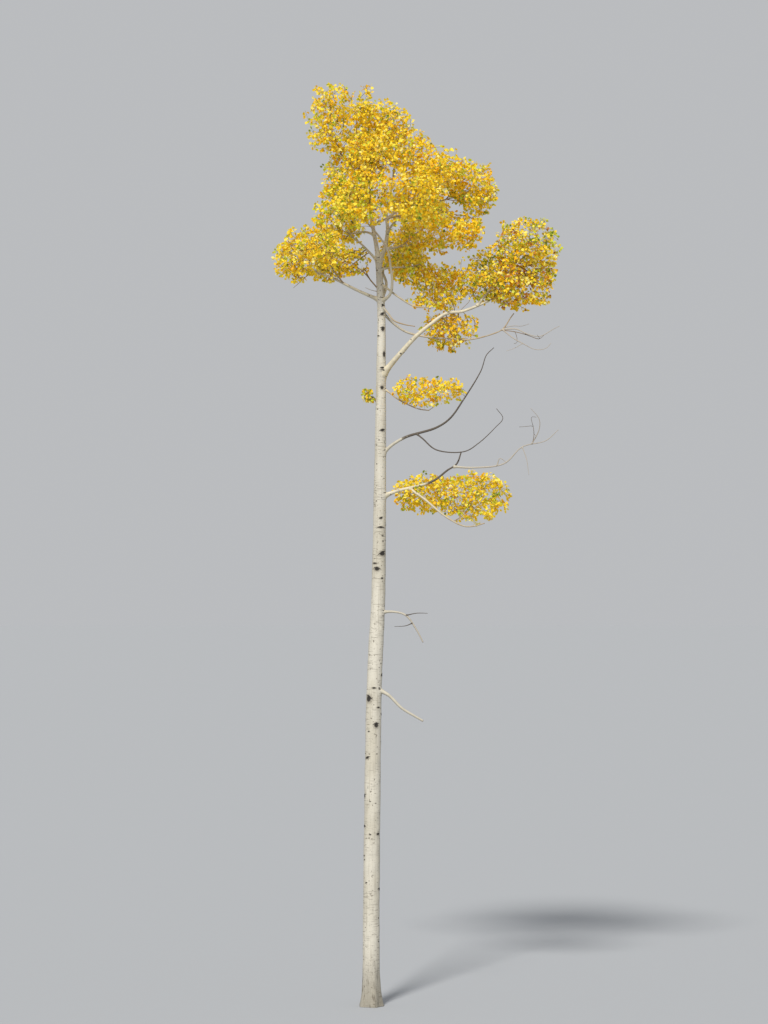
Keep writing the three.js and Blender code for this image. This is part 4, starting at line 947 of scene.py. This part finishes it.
def leaves_of(mass, tree, seed):
    """The corners of a mass's leaves, and each one's tint.

    Leaves leave a twig at even shares of its last part, on all sides by chance, and lean outward and down.
    A leaf whose point would leave the space, or that touches a limb, is skipped.
    """
    chance = np.random.default_rng(seed)
    row = MASSES[mass]
    shares = np.linspace(FIRST_LEAF, 1.0, LEAVES_ON_TWIG)
    curves, _ = twig_curves(tree, shares)
    ends = np.flatnonzero(tree["parents"] >= 0)
    leafy_part = ends > STEM_WITHOUT_LEAVES
    roots = curves[leafy_part].reshape(-1, 3)
    count = len(roots)
    forward = np.repeat(tree["ahead"][ends[leafy_part]], LEAVES_ON_TWIG, axis=0)
    outward = unit((roots - centres[mass]) / reaches[mass])
    stray = unit(chance.normal(size=(count, 3)))
    stalk = unit(STALK_ON * forward + STALK_OUT * outward + STALK_STRAY * stray + STALK_DROOP)
    stray = unit(chance.normal(size=(count, 3)))
    blade = unit(BLADE_ON * stalk + BLADE_STRAY * stray + BLADE_DROOP)
    length = chance.uniform(*LEAF_LENGTH, count)[:, None]
    base = roots + stalk * chance.uniform(*STALK_LENGTH, count)[:, None]
    across = unit(np.cross(blade, unit(chance.normal(size=(count, 3)) + BLADE_FACES_OUT * outward)))
    out = np.cross(across, blade)
    corners, pattern = leaf_pattern()
    shape = corners[None] * length[:, :, None]
    places = base[:, None] + shape[..., :1] * across[:, None] + shape[..., 1:2] * blade[:, None]
    places = places + shape[..., 2:] * out[:, None]
    wide = across[:, None] * STALK_WIDTH / 2
    stalks = np.stack([roots, roots, base, base], 1) + np.concatenate([wide, -wide, wide, -wide], 1)
    places = np.concatenate([places, stalks], 1)
    near = lengths(limb_starts - centres[mass]) < reaches[mass].max() + LEAF_SEARCH
    kept = in_space(mass, places[:, LEAF_POINT]) & in_space(mass, base)
    if near.any():
        kept &= limb_gap(places[:, 0], near) > LEAF_CLEARANCE
    shares = np.array(LEAF_MIXTURES[row[6]], float)
    twigs = chance.choice(len(shares), size=count // LEAVES_ON_TWIG, p=shares / shares.sum())
    tints = np.repeat(twigs, LEAVES_ON_TWIG)
    other = chance.random(count) < STRAY_TINTS
    tints[other] = chance.choice(len(shares), size=other.sum(), p=shares / shares.sum())
    return places[kept], tints[kept], pattern


def leaf_finish(name, tint):
    """A thin leaf in one plain colour: some light goes through it, the rest comes back with a soft sheen."""
    finish = Finish("leaf_" + name)
    light = colour(tint)
    sockets = {"Base Color": light, "Roughness": 0.5, "Specular IOR Level": 0.35}
    sheen = finish.add("BsdfPrincipled", {}, sockets)
    through = finish.add("BsdfTranslucent", {}, {"Color": light})
    return finish.show(finish.add("MixShader", {}, {0: 0.38, 1: sheen, 2: through}))


sprays = [leaves_of(mass, trees[mass], LEAF_SEED + mass) for mass in leafy]
places = np.concatenate([spray[0] for spray in sprays])
tints = np.concatenate([spray[1] for spray in sprays])
pattern = sprays[0][2]
for number, (name, tint) in enumerate(LEAF_TINTS.items()):
    chosen = places[tints == number]
    faces = (np.arange(len(chosen))[:, None, None] * chosen.shape[1] + pattern).reshape(-1, 3)
    piece = new_piece("leaves_" + name + "_tint", chosen.reshape(-1, 3), faces, leaf_finish(name, tint))
    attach(piece, "root")
    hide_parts(*[MASSES[k][0] for k in leafy])

# The tree stands on a floor of pale, dull plaster, which is level and runs far off on all sides. A soft,
# even sky lights it, and so does one broad lamp as the sun, high up and a little to the left.
FLOOR_SIZE, FLOOR_DROP, FLOOR_COLOUR = 400.0, 0.001, colour((158, 161, 165))
SKY_STRENGTH, SKY_COLOUR = 0.52, (0.95, 0.97, 1.0, 1.0)
SUN_STRENGTH, SUN_COLOUR = 3.7, (1.0, 0.97, 0.92)
SUN_WIDTH, SUN_TURN = np.radians(9), (np.radians(44), 0, np.radians(-16))

floor_mesh = bpy.data.meshes.new("floor")
half = FLOOR_SIZE / 2
floor_mesh.from_pydata([(-half, -half, -FLOOR_DROP), (half, -half, -FLOOR_DROP), (half, half, -FLOOR_DROP),
                        (-half, half, -FLOOR_DROP)], [], [(0, 1, 2, 3)])
floor = put_in_scene("floor", floor_mesh)
plaster = Finish("floor")
plain = plaster.add("BsdfPrincipled", {}, {"Base Color": FLOOR_COLOUR, "Roughness": 0.9})
floor_mesh.materials.append(plaster.show(plain))

world = bpy.data.worlds.new("sky")
bpy.context.scene.world = world
world.use_nodes = True
world.node_tree.nodes["Background"].inputs["Color"].default_value = SKY_COLOUR
world.node_tree.nodes["Background"].inputs["Strength"].default_value = SKY_STRENGTH
sun_lamp = bpy.data.lights.new("sun", "SUN")
sun_lamp.energy, sun_lamp.angle, sun_lamp.color = SUN_STRENGTH, SUN_WIDTH, SUN_COLOUR
put_in_scene("sun", sun_lamp).rotation_euler = SUN_TURN
bpy.context.scene.view_settings.view_transform = "Standard"

# The camera looks level along +Y from far off through a long lens, as the photograph does. It shows the
# tree at the photograph's scale, moved down so that its foot, which the photograph cuts off, shows too.
METRES_PER_PIXEL, PICTURE_HEIGHT, LENS, SENSOR, FARTHEST = 0.0175, 1024, 120.0, 36.0, 1000
CAMERA_ACROSS, CAMERA_HEIGHT = 0.2275, 8.645
camera_data = bpy.data.cameras.new("camera")
camera_data.lens, camera_data.sensor_width = LENS, SENSOR
camera_data.clip_end = FARTHEST
camera = put_in_scene("camera", camera_data)
distance = METRES_PER_PIXEL * PICTURE_HEIGHT * LENS / SENSOR
camera.location = (CAMERA_ACROSS, -distance, CAMERA_HEIGHT)
camera.rotation_euler = (np.pi / 2, 0, 0)
bpy.context.scene.camera = camera
